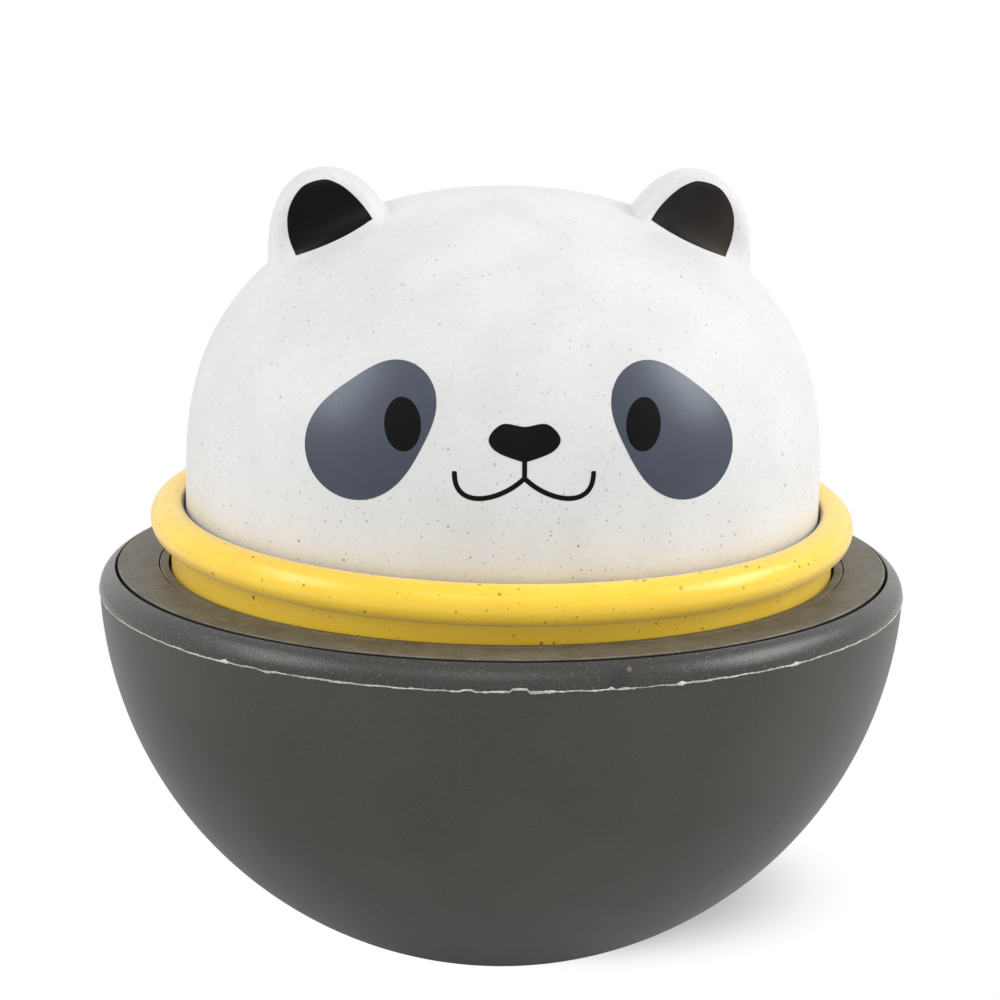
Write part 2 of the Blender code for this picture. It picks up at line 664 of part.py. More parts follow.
def chime_frame(material):
    item = cylinder("plate", PLATE_RADIUS, PLATE_BOTTOM, PLATE_TOP, segments=36)
    for side in (-1, 1):
        inner = side * UPRIGHT_INSIDE
        outer = side * (UPRIGHT_INSIDE + UPRIGHT_THICKNESS)
        half = UPRIGHT_HALF_WIDTH
        low = (min(inner, outer), -half, PLATE_TOP - UPRIGHT_THICKNESS / 2)
        high = (max(inner, outer), half, HANGER_HEIGHT)
        join(item, block("upright", low, high))
        middle = Matrix.Translation(((inner + outer) / 2, 0.0, HANGER_HEIGHT))
        turn = Matrix.Rotation(math.pi / 2, 4, "Y")
        rim = UPRIGHT_THICKNESS / 2
        round_end = [(0.0, -rim), (half, -rim), (half, rim), (0.0, rim)]
        eye = turned("eye", round_end, SMALL_SEGMENTS, middle @ turn)
        join(item, eye)
    for at in rod_places():
        join(item, cylinder("socket", ROD_SOCKET_RADIUS, PLATE_TOP - GAP, ROD_SOCKET_TOP, at))
    for at in rod_places():
        cut(item, cylinder("bore", ROD_BORE, ROD_SOCKET_FLOOR, ROD_SOCKET_TOP + GAP, at))
    for at in around(BOWL_BOSS_CIRCLE, SCREW_COUNT, 90):
        cut(item, cylinder("hole", SCREW_BORE, PLATE_BOTTOM - GAP, PLATE_TOP + GAP, at))
    cut(item, cross_bore("axle", PIN_BORE, 2 * UPRIGHT_INSIDE, HANGER_HEIGHT, "X"))
    return finish(item, "chime_frame", material)


def chime_rod(index, at, material):
    top = PLATE_TOP + SHORTEST_ROD_RISE + index * ROD_STEP
    item = cylinder("rod", ROD_RADIUS, ROD_SOCKET_FLOOR + GAP, top, at)
    return finish(item, f"chime_rod_{index + 1}", material)


def hanger_pin(material):
    item = pin("hanger_pin", UPRIGHT_INSIDE + UPRIGHT_THICKNESS, HANGER_HEIGHT, "X")
    return finish(item, "hanger_pin", material)


def swing_link(material):
    half = LINK_THICKNESS / 2
    width = LINK_HALF_WIDTH
    item = block("link", (-width, -half, STRIKER_PIVOT_HEIGHT), (width, half, HANGER_HEIGHT))
    join(item, cross_bore("lower", width, half, STRIKER_PIVOT_HEIGHT, "Y"))
    join(item, cross_bore("upper", half, width, HANGER_HEIGHT, "X"))
    cut(item, cross_bore("hanger", PIN_BORE, 2 * width, HANGER_HEIGHT, "X"))
    cut(item, cross_bore("pivot", PIN_BORE, 2 * half, STRIKER_PIVOT_HEIGHT, "Y"))
    return finish(item, "swing_link", material)


def striker_pin(material):
    half_grip = LINK_THICKNESS / 2 + GAP + CHEEK_THICKNESS
    return finish(pin("striker_pin", half_grip, STRIKER_PIVOT_HEIGHT, "Y"), "striker_pin", material)


def striker_stem(material):
    """Fork whose cheeks hang on the striker pin, with the stem that carries the ball."""
    inner = LINK_THICKNESS / 2 + GAP
    outer = inner + CHEEK_THICKNESS
    bridge_top = STRIKER_PIVOT_HEIGHT - LINK_HALF_WIDTH - 2 * GAP
    bridge_bottom = bridge_top - BRIDGE_THICKNESS
    width = CHEEK_HALF_WIDTH
    narrow = width - BRIDGE_STEP
    reach = outer - BRIDGE_STEP
    item = block("bridge", (-narrow, -reach, bridge_bottom), (narrow, reach, bridge_top))
    outline = arc((0.0, STRIKER_PIVOT_HEIGHT), width, 0, 180, 8)
    outline += [(-width, bridge_bottom - BRIDGE_STEP), (width, bridge_bottom - BRIDGE_STEP)]
    join(item, prism("cheek", outline, inner, outer))
    join(item, prism("cheek", outline, -outer, -inner))
    cut(item, cross_bore("pivot", PIN_BORE, 2 * outer, STRIKER_PIVOT_HEIGHT, "Y"))
    join(item, cylinder("stem", STEM_RADIUS, BALL_HEIGHT, bridge_bottom + GAP))
    return finish(item, "striker_stem", material)


def striker_ball(material):
    profile = arc((0.0, BALL_HEIGHT), BALL_RADIUS, -90, 90, 10)
    profile[0] = (0.0, BALL_HEIGHT - BALL_RADIUS)
    profile[-1] = (0.0, BALL_HEIGHT + BALL_RADIUS)
    item = turned("ball", profile, 18)
    cut(item, cylinder("bore", STEM_RADIUS + GAP, BALL_HEIGHT - GAP, BALL_HEIGHT + 2 * BALL_RADIUS))
    return finish(item, "striker_ball", material)


def deck_ring(material):
    profile = [
        (DECK_LIP_BORE, DECK_BOTTOM),
        (DECK_RADIUS, DECK_BOTTOM),
        (DECK_RADIUS, DECK_TOP - DECK_EDGE_BREAK),
        (DECK_RADIUS - DECK_EDGE_BREAK, DECK_TOP),
        (DECK_REBATE, DECK_TOP),
        (DECK_REBATE, DECK_LIP_TOP),
        (DECK_LIP_BORE, DECK_LIP_TOP),
    ]
    return finish(turned("deck_ring", profile), "deck_ring", material)


def bearing_ring(material):
    profile = [
        (BEARING_BORE, BEARING_BOTTOM),
        (BEARING_RADIUS, BEARING_BOTTOM),
        (BEARING_RADIUS, DECK_TOP),
        (BEARING_FLANGE_BORE, DECK_TOP),
        (BEARING_FLANGE_BORE, BEARING_SEAT_TOP),
        (BEARING_BORE, BEARING_SEAT_TOP),
    ]
    return finish(turned("bearing_ring", profile), "bearing_ring", material)


def collar(material):
    """Cup that holds the head: neck, band and the round bead on top."""
    centre = (BEAD_CENTRE_RADIUS, BEAD_CENTRE_HEIGHT)
    shoulder = BEARING_SEAT_TOP + GAP
    crease = -math.degrees(math.acos((COLLAR_BAND_RADIUS - BEAD_CENTRE_RADIUS) / BEAD_RADIUS))
    lip = math.degrees(math.acos((COLLAR_BORE - BEAD_CENTRE_RADIUS) / BEAD_RADIUS))
    profile = [
        (COLLAR_FLOOR_BORE, COLLAR_BOTTOM),
        (COLLAR_NECK_RADIUS, COLLAR_BOTTOM),
        (COLLAR_NECK_RADIUS, shoulder),
        (COLLAR_BAND_RADIUS, shoulder),
    ]
    profile += arc(centre, BEAD_RADIUS, crease, lip, 10)
    profile += [(COLLAR_BORE, COLLAR_FLOOR_TOP), (COLLAR_FLOOR_BORE, COLLAR_FLOOR_TOP)]
    item = turned("collar", profile)
    for at in head_screw_places():
        cut(item, cylinder("hole", SCREW_BORE, COLLAR_BOTTOM - GAP, COLLAR_FLOOR_TOP + GAP, at))
    return finish(item, "collar", material)


def head_screw_places():
    return around(HEAD_BOSS_CIRCLE, SCREW_COUNT, 30)


def retainer_ring(material):
    bottom = RETAINER_TOP - RETAINER_THICKNESS
    profile = [
        (COLLAR_FLOOR_BORE, bottom),
        (RETAINER_RADIUS, bottom),
        (RETAINER_RADIUS, RETAINER_TOP),
        (COLLAR_FLOOR_BORE, RETAINER_TOP),
    ]
    item = turned("retainer", profile)
    for at in head_screw_places():
        cut(item, cylinder("hole", SCREW_BORE, bottom - GAP, RETAINER_TOP + GAP, at))
    return finish(item, "retainer_ring", material)


def head_screws(material):
    seat = RETAINER_TOP - RETAINER_THICKNESS - GAP
    tip = HEAD_RIM + HEAD_SCREW_GRIP
    screws = [screw("screw", at, seat, False, tip) for at in head_screw_places()]
    return [finish(item, f"head_screw_{index + 1}", material) for index, item in enumerate(screws)]


def head_shell(material):
    """Hollow dome with the two ears moulded on, and shallow beds for the prints."""
    item = dome("head", 0.0)
    for side in (-1, 1):
        join(item, ear_body("ear", side))
    cut(item, dome("hollow", HEAD_WALL, HEAD_RIM - HEAD_WALL, 8))
    for at in head_screw_places():
        join(item, cylinder("boss", HEAD_BOSS_RADIUS, HEAD_RIM, HEAD_RIM + HEAD_BOSS_HEIGHT, at))
    for at in head_screw_places():
        cut(item, cylinder("bore", SCREW_BORE, HEAD_RIM - GAP, HEAD_RIM + HEAD_SCREW_GRIP + GAP, at))
    for side in (-1, 1):
        bar = prism("patch_bed", patch_outline(side, GAP), -CUT_REACH, 0.0)
        cut(item, dome_recess(bar))
        cut(item, ear_recess(side))
    cut(item, dome_recess(nose_and_mouth_bar("mouth_bed", GAP)))
    return finish(item, "head_shell", material)


def eye_patch(side, name, material):
    item = prism("patch", patch_outline(side, 0.0), -CUT_REACH, 0.0)
    hole = ellipse((side * EYE_CENTRE[0], EYE_CENTRE[1]), EYE_HALF_WIDTH + GAP, EYE_HALF_HEIGHT + GAP)
    cut(item, prism("hole", hole, -CUT_REACH - GAP, GAP))
    return finish(on_dome(item), name, material)


def eye(side, name, material):
    outline = ellipse((side * EYE_CENTRE[0], EYE_CENTRE[1]), EYE_HALF_WIDTH, EYE_HALF_HEIGHT)
    return finish(on_dome(prism("eye", outline, -CUT_REACH, 0.0)), name, material)


def hang_on(pieces, name, height):
    """Parents pieces to an empty that stands on their joint's axis."""
    axis = bpy.data.objects.new(name, None)
    axis.location = (0.0, 0.0, height)
    axis.empty_display_size = 10 * MM
    bpy.context.scene.collection.objects.link(axis)
    bpy.context.view_layer.update()
    for piece in pieces:
        piece.parent = axis
        piece.matrix_parent_inverse = axis.matrix_world.inverted()


def build():
    clear_scene()
    charcoal = make_material("charcoal plastic", (0.062, 0.059, 0.053), 0.55)
    charcoal_ring = make_material("charcoal ring plastic", (0.05, 0.048, 0.043), 0.45)
    yellow = make_material("yellow plastic", (0.80, 0.52, 0.09), 0.4)
    white = make_material("white speckled plastic", (0.82, 0.81, 0.79), 0.45)
    grey_print = make_material("grey print", (0.13, 0.14, 0.17), 0.35)
    black_print = make_material("black print", (0.012, 0.011, 0.012), 0.3)
    inner_plastic = make_material("inner plastic", (0.6, 0.6, 0.58), 0.5)
    iron = make_material("cast iron", (0.09, 0.09, 0.09), 0.6, 0.8)
    steel = make_material("screw steel", (0.55, 0.55, 0.56), 0.3, 1.0)
    chime_metal = make_material("chime rod metal", (0.68, 0.69, 0.7), 0.2, 1.0)

    bowl(charcoal)
    ballast(iron)
    ballast_screws(steel)
    chime_frame(inner_plastic)
    hanger_pin(steel)
    for index, at in enumerate(rod_places()):
        chime_rod(index, at, chime_metal)
    deck_ring(charcoal)
    bearing_ring(charcoal_ring)

    hang_on([swing_link(inner_plastic), striker_pin(steel)], "swing_axis", HANGER_HEIGHT)
    striker = [striker_stem(inner_plastic), striker_ball(inner_plastic)]
    hang_on(striker, "striker_axis", STRIKER_PIVOT_HEIGHT)

    pieces = [collar(yellow), retainer_ring(inner_plastic), head_shell(white)] + head_screws(steel)
    for side, name in ((-1, "left"), (1, "right")):
        pieces.append(eye_patch(side, f"eye_patch_{name}", grey_print))
        pieces.append(eye(side, f"eye_{name}", black_print))
        pieces.append(finish(ear_inlay(side), f"ear_inlay_{name}", black_print))
    mouth = on_dome(nose_and_mouth_bar("mouth", 0.0))
    pieces.append(finish(mouth, "nose_and_mouth", black_print))
    hang_on(pieces, "head_axis", HEAD_RIM)


build()
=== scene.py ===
"""Looks of the roly-poly panda toy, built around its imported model.

Metres, +Z up, face towards -Y, floor at height 0. Heights are above the floor and radii are from
the upright axis through the toy. Every new piece is a closed skin worked out on a grid of points.
"""

import math

import bpy
import numpy as np
from mathutils import Matrix, Vector


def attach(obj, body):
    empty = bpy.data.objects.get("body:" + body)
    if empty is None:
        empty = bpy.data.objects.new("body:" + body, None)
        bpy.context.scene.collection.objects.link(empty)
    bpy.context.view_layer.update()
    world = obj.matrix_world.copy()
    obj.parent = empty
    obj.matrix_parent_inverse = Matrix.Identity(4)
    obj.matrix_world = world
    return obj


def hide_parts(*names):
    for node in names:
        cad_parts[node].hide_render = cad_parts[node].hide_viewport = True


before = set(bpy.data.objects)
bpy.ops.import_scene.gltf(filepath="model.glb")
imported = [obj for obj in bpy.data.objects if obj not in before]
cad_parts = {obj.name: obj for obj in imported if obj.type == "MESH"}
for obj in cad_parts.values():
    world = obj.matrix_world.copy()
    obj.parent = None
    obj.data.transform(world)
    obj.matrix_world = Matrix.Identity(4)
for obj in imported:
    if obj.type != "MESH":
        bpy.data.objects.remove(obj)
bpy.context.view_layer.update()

MM = 0.001

# Bowl, as its solid is made
BOWL_RADIUS = 50.0 * MM
BOWL_WALL = 2.4 * MM
FOOT_RADIUS = 6.0 * MM
SPHERE_HEIGHT = math.sqrt(BOWL_RADIUS**2 - FOOT_RADIUS**2)
PARTING_HEIGHT = SPHERE_HEIGHT - 2.34 * MM
RIM_ROUND = 3.0 * MM
RIM_BORE = 48.0 * MM
THROAT_RADIUS = 45.5 * MM
BOSS_CIRCLE = 20.0 * MM
BOSS_RADIUS = 3.5 * MM
BOSS_TOP = 11.5 * MM
BOSS_BORE = 1.55 * MM
BOSS_BORE_FLOOR = 7.7 * MM
BOSS_SINK = 0.8 * MM
BOSS_ANGLES = (90, 210, 330)

# Deck, running ring and collar
DECK_TOP = PARTING_HEIGHT + 3.05 * MM
DECK_BOTTOM = DECK_TOP - 4.0 * MM
LEDGE_HEIGHT = DECK_BOTTOM - 0.3 * MM
DECK_RADIUS = 47.7 * MM
DECK_BORE = 42.64 * MM
DECK_LIP_BORE = 40.2 * MM
DECK_LIP_TOP = DECK_BOTTOM + 1.4 * MM
RING_RADIUS = 42.5 * MM
RING_FLANGE_BORE = 41.45 * MM
RING_SEAT_BORE = 40.0 * MM
RING_BOTTOM = DECK_LIP_TOP + 0.3 * MM
RING_SEAT_TOP = RING_BOTTOM + 0.9 * MM
COLLAR_BOTTOM = DECK_BOTTOM - 0.05 * MM
COLLAR_FLOOR_TOP = COLLAR_BOTTOM + 4.0 * MM
COLLAR_FLOOR_BORE = 31.0 * MM
COLLAR_NECK = 39.6 * MM
COLLAR_BAND = 41.06 * MM
COLLAR_BORE = 39.54 * MM
BEAD_RADIUS = 2.35 * MM
BEAD_CENTRE = (41.24 * MM, DECK_TOP + 4.56 * MM)

# Head
HEAD_RADIUS = 39.24 * MM
HEAD_WALL = 2.2 * MM
HEAD_RIM = COLLAR_FLOOR_TOP + 0.3 * MM
DOME_BASE = HEAD_RIM + 10.0 * MM
DOME_HEIGHT = 36.0 * MM
DOME_POWER_ACROSS = 2.02
DOME_POWER_UP = 2.63
HEAD_BOSS_RADIUS = 3.2 * MM
HEAD_BOSS_CIRCLE = 34.4 * MM
HEAD_BOSS_HEIGHT = 8.4 * MM
HEAD_SCREW_DEPTH = 7.2 * MM
HEAD_BOSS_ANGLES = (30, 150, 270)
HEAD_EDGE = 0.15 * MM

# Grid of the head's skin: (degrees, steps to the next) round the axis, and from level up to the top
HEAD_TURNS = ((-180, 88), (-136, 64), (-44, 88), (0, 88), (44, 64), (136, 88), (180, 0))
HEAD_TILTS = ((90, 34), (54, 92), (20, 20), (0, 0))

# Ears: an oval lobe with a nearly flat front and a rounded edge, leaning outwards
EAR_CENTRE = (20.17 * MM, -2.6 * MM, 85.54 * MM)
EAR_HALF_WIDTH = 8.38 * MM
EAR_HALF_LENGTH = 13.94 * MM
EAR_HALF_DEPTH = 5.2 * MM
EAR_LEAN = math.radians(15.1)
EAR_POWER = 2.14
EAR_FRONT_ROUND = 1.6 * MM
EAR_BACK_ROUND = 2.0 * MM
EAR_FRONT_CROWN = 0.7 * MM
EAR_BLEND_SIDE = 0.4 * MM
EAR_BLEND_FRONT = 3.4 * MM
EAR_BLEND_BACK = 1.4 * MM

# The head sits a touch off straight in its collar: this much sideways for each unit of height.
# The bead sits askew: this much lower for each unit to the right and higher for each to the back,
# growing to that over a short height above the deck
HEAD_LEAN = 0.0076
HEAD_LEAN_FROM = 55.3 * MM
BEAD_TILT_SIDE = 0.0073
BEAD_TILT_BACK = 0.026
BEAD_TILT_GROWS = 2 * MM

# Prints: how far they stand proud of the surface, and how far their edges sink into it
PRINT_PROUD = 0.03 * MM
PRINT_SINK = 0.25 * MM
PATCH_LOW = (19.54 * MM, 70.38 * MM)
PATCH_HIGH = (13.24 * MM, 77.82 * MM)
PATCH_LOW_WEIGHT = 0.612
PATCH_SIZE = 7.34 * MM
EYE_CENTRE = (13.6 * MM, 74.33 * MM)
EYE_HALF = (2.04 * MM, 2.94 * MM)
LINE_WIDTH = 0.56 * MM

# Corners and middles of the prints on the right half of the face and on the right ear, in
# millimetres across and up
NOSE_TOP = (0, 74.54)
NOSE_SIDE = ((2.5, 74.8), (4.02, 73.26), (3.14, 71.8), (0.29, 70.74))
NOSE_MIDDLE = (0, 72.9)
LIP_TOP = 71.4
SMILE_BENDS = ((0, 68.92), (2.55, 66.36), (8.09, 65.0), (7.8, 69.67))
INLAY_TOP = (
    (16.68, 93.98),
    (17.86, 95.5),
    (19.45, 97.1),
    (20.95, 98.08),
    (22.57, 98.48),
    (24.87, 97.74),
    (26.25, 96.0),
    (26.83, 93.9),
    (26.6, 91.5),
    (25.79, 89.56),
)
INLAY_BOW = (20.76, 91.66)
INLAY_MIDDLE = (22.8, 93.8)

# Small blemishes on the rim and on the deck
SMUDGE_PLACE = (10.2 * MM, -48.6 * MM, PARTING_HEIGHT + 1.1 * MM)
CHIP_PLACE = (11.4 * MM, -47.9 * MM, PARTING_HEIGHT + 2.0 * MM)
RUBBED_PLACE = (-32.5 * MM, -31.0 * MM, DECK_TOP)

# Moulding line: where it swells and where it steps, in degrees to the right of the front. A swelling
# has its middle and its spread, a step has its start and its end, and both then have what they add
# to the height, to the half width and to the level, in millimetres
FLASH_SWELLINGS = (
    (-42.1, 0.5, 0.09, 0.15, 0.08),
    (-35.0, 1.0, 0.05, 0.08, -0.14),
    (10.7, 0.35, 0.08, 0.08, 0.12),
    (12.4, 0.5, 0.03, 0.05, 0.04),
    (20.3, 0.45, 0.10, 0.17, 0.02),
    (38.9, 0.5, 0.09, 0.14, 0.05),
)
FLASH_STEPS = (
    (-8.4, -6.9, 0.0, 0.0, 0.16),
    (-2.1, 0.1, 0.0, 0.01, 0.30),
    (0.2, 3.4, -0.01, 0.07, -0.04),
    (14.0, 18.6, -0.045, -0.02, 0.06),
)

# Points round the toy, round its moulding line, round a boss and round an eye, and on each stretch
# of a smooth outline
ROUND = 384
FLASH_ROUND = 3600
BOSS_ROUND = 48
EYE_ROUND = 96
CURVE_STEPS = 14

WHITE = (1, 1, 1, 1)
BLACK = (0, 0, 0, 1)

# Lamps: name, azimuth and elevation in degrees, distance, width and height in metres, level. They
# aim at the axis, at one height
LAMPS = (
    ("lamp left", -72, 30, 1.1, 0.28, 0.55, 0.21),
    ("lamp left back", -89, 44, 1.1, 0.4, 0.3, 0.13),
    ("lamp right", 76, 30, 1.1, 0.28, 0.55, 0.27),
    ("lamp right back", 96, 37, 1.1, 0.42, 0.4, 0.24),
    ("lamp front", -10, 52, 1.3, 0.7, 0.7, 0.13),
)
LAMP_AIM = 60 * MM
WORLD_LEVEL = 0.485

# Soft edge of the part of the floor that takes a shadow, round a middle behind the toy
SHADOW_TONE = 0.86
SHADOW_CENTRE = (13.3 * MM, 21.5 * MM)
SHADOW_INNER = 15 * MM
SHADOW_OUTER = 37 * MM
SHADOW_SQUASH = 1.06

# Camera: degrees, pixels of a picture 1000 across, and metres
PICTURE = 1000.0
CAMERA_AZIMUTH = -3.5
CAMERA_ELEVATION = 14.155
CAMERA_DISTANCE = 390.3 * MM
CAMERA_ROLL = 0.689
CAMERA_FOCUS = 3110.2
CAMERA_TARGET = (501.12, 580.84)


# Shapes


def skin(rows, loop=False):
    """Points and faces of one closed skin.

    Each row of the grid is a ring of points that runs once round. Ring i is joined to ring i + 1 by
    four-sided faces. A ring whose points are all the same is a pole and gets three-sided faces. With
    loop, the last ring is joined to the first. The faces are turned so that the volume that they
    enclose, the sum of a . (b x c) / 6 over the triangles, is positive.
    """
    rows = np.asarray(rows, float)
    count, around = rows.shape[:2]
    pole = np.ptp(rows, axis=1).max(axis=1) < 1e-9
    kept = np.ones((count, around), bool)
    kept[pole, 1:] = False
    first = np.concatenate([[0], np.cumsum(kept.sum(axis=1))[:-1]])
    low = first[:, None] + np.where(pole[:, None], 0, np.arange(around))
    high = np.roll(low, -1, axis=0)
    faces = np.stack([low, np.roll(low, -1, 1), np.roll(high, -1, 1), high], axis=-1)
    under, over = pole, np.roll(pole, -1)
    if not loop:
        faces, under, over = faces[:-1], under[:-1], over[:-1]
    fours = faces[~(under | over)].reshape(-1, 4)
    threes = np.concatenate(
        [faces[under][..., [0, 2, 3]].reshape(-1, 3), faces[over][..., [0, 1, 2]].reshape(-1, 3)]
    )
    points = rows[kept]
    corners = np.concatenate([fours[:, [0, 1, 2]], fours[:, [0, 2, 3]], threes])
    a, b, c = (points[corners[:, i]] for i in range(3))
    if np.einsum("ij,ij->i", a, np.cross(b, c)).sum() < 0:
        fours, threes = fours[:, ::-1], threes[:, ::-1]
    return points, fours, threes


def piece(name, skins, material, body, nodes=(), crease=60, leaning=False, tilted=False):
    """One object made of closed skins. It rides on a body, in place of the nodes named. Edges that
    bend by more degrees than the crease stay sharp. A leaning piece is sheared sideways by its
    height, x + k (z - z0), and what a tilted one has above the deck is sheared downwards to the
    right and upwards to the back, z - k x + j (y + r)."""
    points, faces, offset = [], [], 0
    for spots, fours, threes in skins:
        points.append(spots)
        faces += (fours + offset).tolist() + (threes + offset).tolist()
        offset += len(spots)
    points = np.concatenate(points)
    if leaning:
        points[:, 0] += HEAD_LEAN * (points[:, 2] - HEAD_LEAN_FROM)
    if tilted:
        share = np.clip((points[:, 2] - DECK_TOP) / BEAD_TILT_GROWS, 0, 1)
        points[:, 2] -= BEAD_TILT_SIDE * share * points[:, 0]
        points[:, 2] += BEAD_TILT_BACK * share * (points[:, 1] + BEAD_CENTRE[0])
    mesh = bpy.data.meshes.new(name)
    mesh.from_pydata(points.tolist(), [], faces)
    mesh.shade_smooth()
    if crease is not None:
        mesh.set_sharp_from_angle(angle=math.radians(crease))
    mesh.materials.append(material)
    item = bpy.data.objects.new(name, mesh)
    bpy.context.scene.collection.objects.link(item)
    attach(item, body)
    if nodes:
        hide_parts(*nodes)


def swung(profile, angle, centre=(0.0, 0.0)):
    """Points (x0 + r cos a, y0 + r sin a, z) for each (r, z) of a profile and each angle a."""
    radius, height = profile[:, :1], profile[:, 1:]
    across = centre[0] + radius * np.cos(angle)
    back = centre[1] + radius * np.sin(angle)
    return np.stack([across, back, height + 0 * angle], axis=-1)


def turned(profile, columns=ROUND, centre=(0.0, 0.0)):
    """Profile swung all the way round an upright axis.

    A profile that starts on the axis is closed by poles there, and any other is closed on itself.
    """
    profile = np.asarray(profile, float)
    angle = np.linspace(0, 2 * math.pi, columns, endpoint=False)
    return skin(swung(profile, angle, centre), loop=profile[0, 0] > 1e-9)


def places(circle, angles):
    """Spots (c cos a, c sin a) on a circle round the axis, for angles in degrees."""
    turns = [math.radians(degrees) for degrees in angles]
    return [(circle * math.cos(turn), circle * math.sin(turn)) for turn in turns]


def arc(centre, radius, start, end, steps):
    """Points on a circle, from start to end in degrees, 0 straight outwards and 90 up."""
    turn = np.radians(np.linspace(start, end, steps + 1))
    return np.stack([centre[0] + radius * np.cos(turn), centre[1] + radius * np.sin(turn)], axis=-1)


def eased(corners, closed=True, steps=5):
    """Outline through (r, z, reach) corners, each rounded by a parabola that starts and ends at its
    reach from the corner: (1-t)^2 a + 2t(1-t) corner + t^2 b. A point beyond each end keeps the
    flats flat."""
    outline = []
    count = len(corners)
    for i, (r, z, reach) in enumerate(corners):
        here = np.array([r, z])
        if reach == 0 or (not closed and i in (0, count - 1)):
            outline.append(here[None])
            continue
        before = np.array(corners[i - 1][:2]) - here
        after = np.array(corners[(i + 1) % count][:2]) - here
        before /= np.linalg.norm(before)
        after /= np.linalg.norm(after)
        t = np.linspace(0, 1, steps + 1)[:, None]
        bend = (1 - t) ** 2 * before * reach + t**2 * after * reach
        ends = [before * reach * 1.4, bend, after * reach * 1.4]
        outline.append(here + np.vstack(ends))
    return np.vstack(outline)


def sphere_angle(radius, at_radius):
    """Degrees below level at which a circle of one radius is another radius from the axis."""
    return -math.degrees(math.acos(at_radius / radius))


def waves(angle, seed, low, high, count):
    """Uneven line round the toy: a sum of count sines of a . k + b, k whole numbers from low to
    high, scaled so that it mostly stays between -1 and 1."""
    draw = np.random.default_rng(seed)
    turns = draw.integers(low, high, count)[:, None]
    starts = draw.uniform(0, 2 * math.pi, count)[:, None]
    sizes = draw.uniform(0.4, 1.0, count)[:, None]
    return (sizes * np.sin(turns * angle + starts)).sum(axis=0) / math.sqrt(count)


def dome_field(points):
    """Rough distance outside the dome: (G - 1) / |grad G|, with G = (r / R)^m + (h / H)^n."""
    radius = np.hypot(points[..., 0], points[..., 1])
    rise = np.clip((points[..., 2] - DOME_BASE) / DOME_HEIGHT, 1e-6, None)
    across = np.clip(radius / HEAD_RADIUS, 1e-6, None)
    value = across**DOME_POWER_ACROSS + rise**DOME_POWER_UP
    slope = np.hypot(
        DOME_POWER_ACROSS * across ** (DOME_POWER_ACROSS - 1) / HEAD_RADIUS,
        DOME_POWER_UP * rise ** (DOME_POWER_UP - 1) / DOME_HEIGHT,
    )
    return (value - 1) / slope


def ear_field(points, side):
    """Rough distance outside one ear, and the width over which it blends with the dome there.

    The ear is a superellipse E = (|u/a|^p + |w/b|^p)^(1/p) in its own leaning plane, given a depth
    and a rounded edge: max(q) inside and |q| outside, less the rounding, with q the distances to
    the outline and to the face. The blend is small beside the ear and at its inner end, wide before
    it and less wide behind it.
    """
    x = side * points[..., 0] - EAR_CENTRE[0]
    y = points[..., 1] - EAR_CENTRE[1]
    z = points[..., 2] - EAR_CENTRE[2]
    u = (x * math.cos(EAR_LEAN) - z * math.sin(EAR_LEAN)) / EAR_HALF_WIDTH
    w = (x * math.sin(EAR_LEAN) + z * math.cos(EAR_LEAN)) / EAR_HALF_LENGTH
    outward = np.clip((u + 0.95) / 0.3, 0, 1)
    u, w = np.abs(u) + 1e-6, np.abs(w) + 1e-6
    reach = (u**EAR_POWER + w**EAR_POWER) ** (1 / EAR_POWER)
    share = reach ** (1 - EAR_POWER)
    slope = np.hypot(
        share * u ** (EAR_POWER - 1) / EAR_HALF_WIDTH, share * w ** (EAR_POWER - 1) / EAR_HALF_LENGTH
    )
    depth = EAR_HALF_DEPTH - EAR_FRONT_CROWN * np.clip(reach, 0, 1.2) ** 2
    rounding = np.where(y < 0, EAR_FRONT_ROUND, EAR_BACK_ROUND)
    past_outline = (reach - 1) / slope + rounding
    past_face = np.abs(y) - depth + rounding
    inside = np.minimum(np.maximum(past_outline, past_face), 0)
    outside = np.hypot(np.maximum(past_outline, 0), np.maximum(past_face, 0))
    facing = np.clip((np.abs(y) / EAR_HALF_DEPTH - 0.5) / 0.5, 0, 1) * outward
    face = np.where(y < 0, EAR_BLEND_FRONT, EAR_BLEND_BACK)
    blend = EAR_BLEND_SIDE + (face - EAR_BLEND_SIDE) * facing**2 * (3 - 2 * facing)
    return inside + outside - rounding, blend


def head_field(points):
    """Dome and ears run together: min(a, b) - k h^2 / 4 with h = max(1 - |a - b| / k, 0)."""
    field = dome_field(points)
    for side in (-1, 1):
        ear, blend = ear_field(points, side)
        overlap = np.clip(1 - np.abs(field - ear) / blend, 0, None)
        field = np.minimum(field, ear) - blend * overlap**2 / 4
    return field


def crossing(start, step, near, far, rounds=34):
    """Places start + t step where the head's field goes from one sign to the other, by halving."""
    near = np.full(start.shape[:-1], near)
    far = np.full(start.shape[:-1], far)
    sign = np.sign(head_field(start + near[..., None] * step))
    for _ in range(rounds):
        middle = (near + far) / 2
        same = np.sign(head_field(start + middle[..., None] * step)) == sign
        near = np.where(same, middle, near)
        far = np.where(same, far, middle)
    return start + near[..., None] * step


def spaced(stops):
    """Numbers between stops: (value, how many steps to the next value) for each."""
    parts = [
        np.linspace(a, b, steps, endpoint=False) for (a, steps), (b, _) in zip(stops, stops[1:])
    ]
    return np.concatenate(parts + [[stops[-1][0]]])


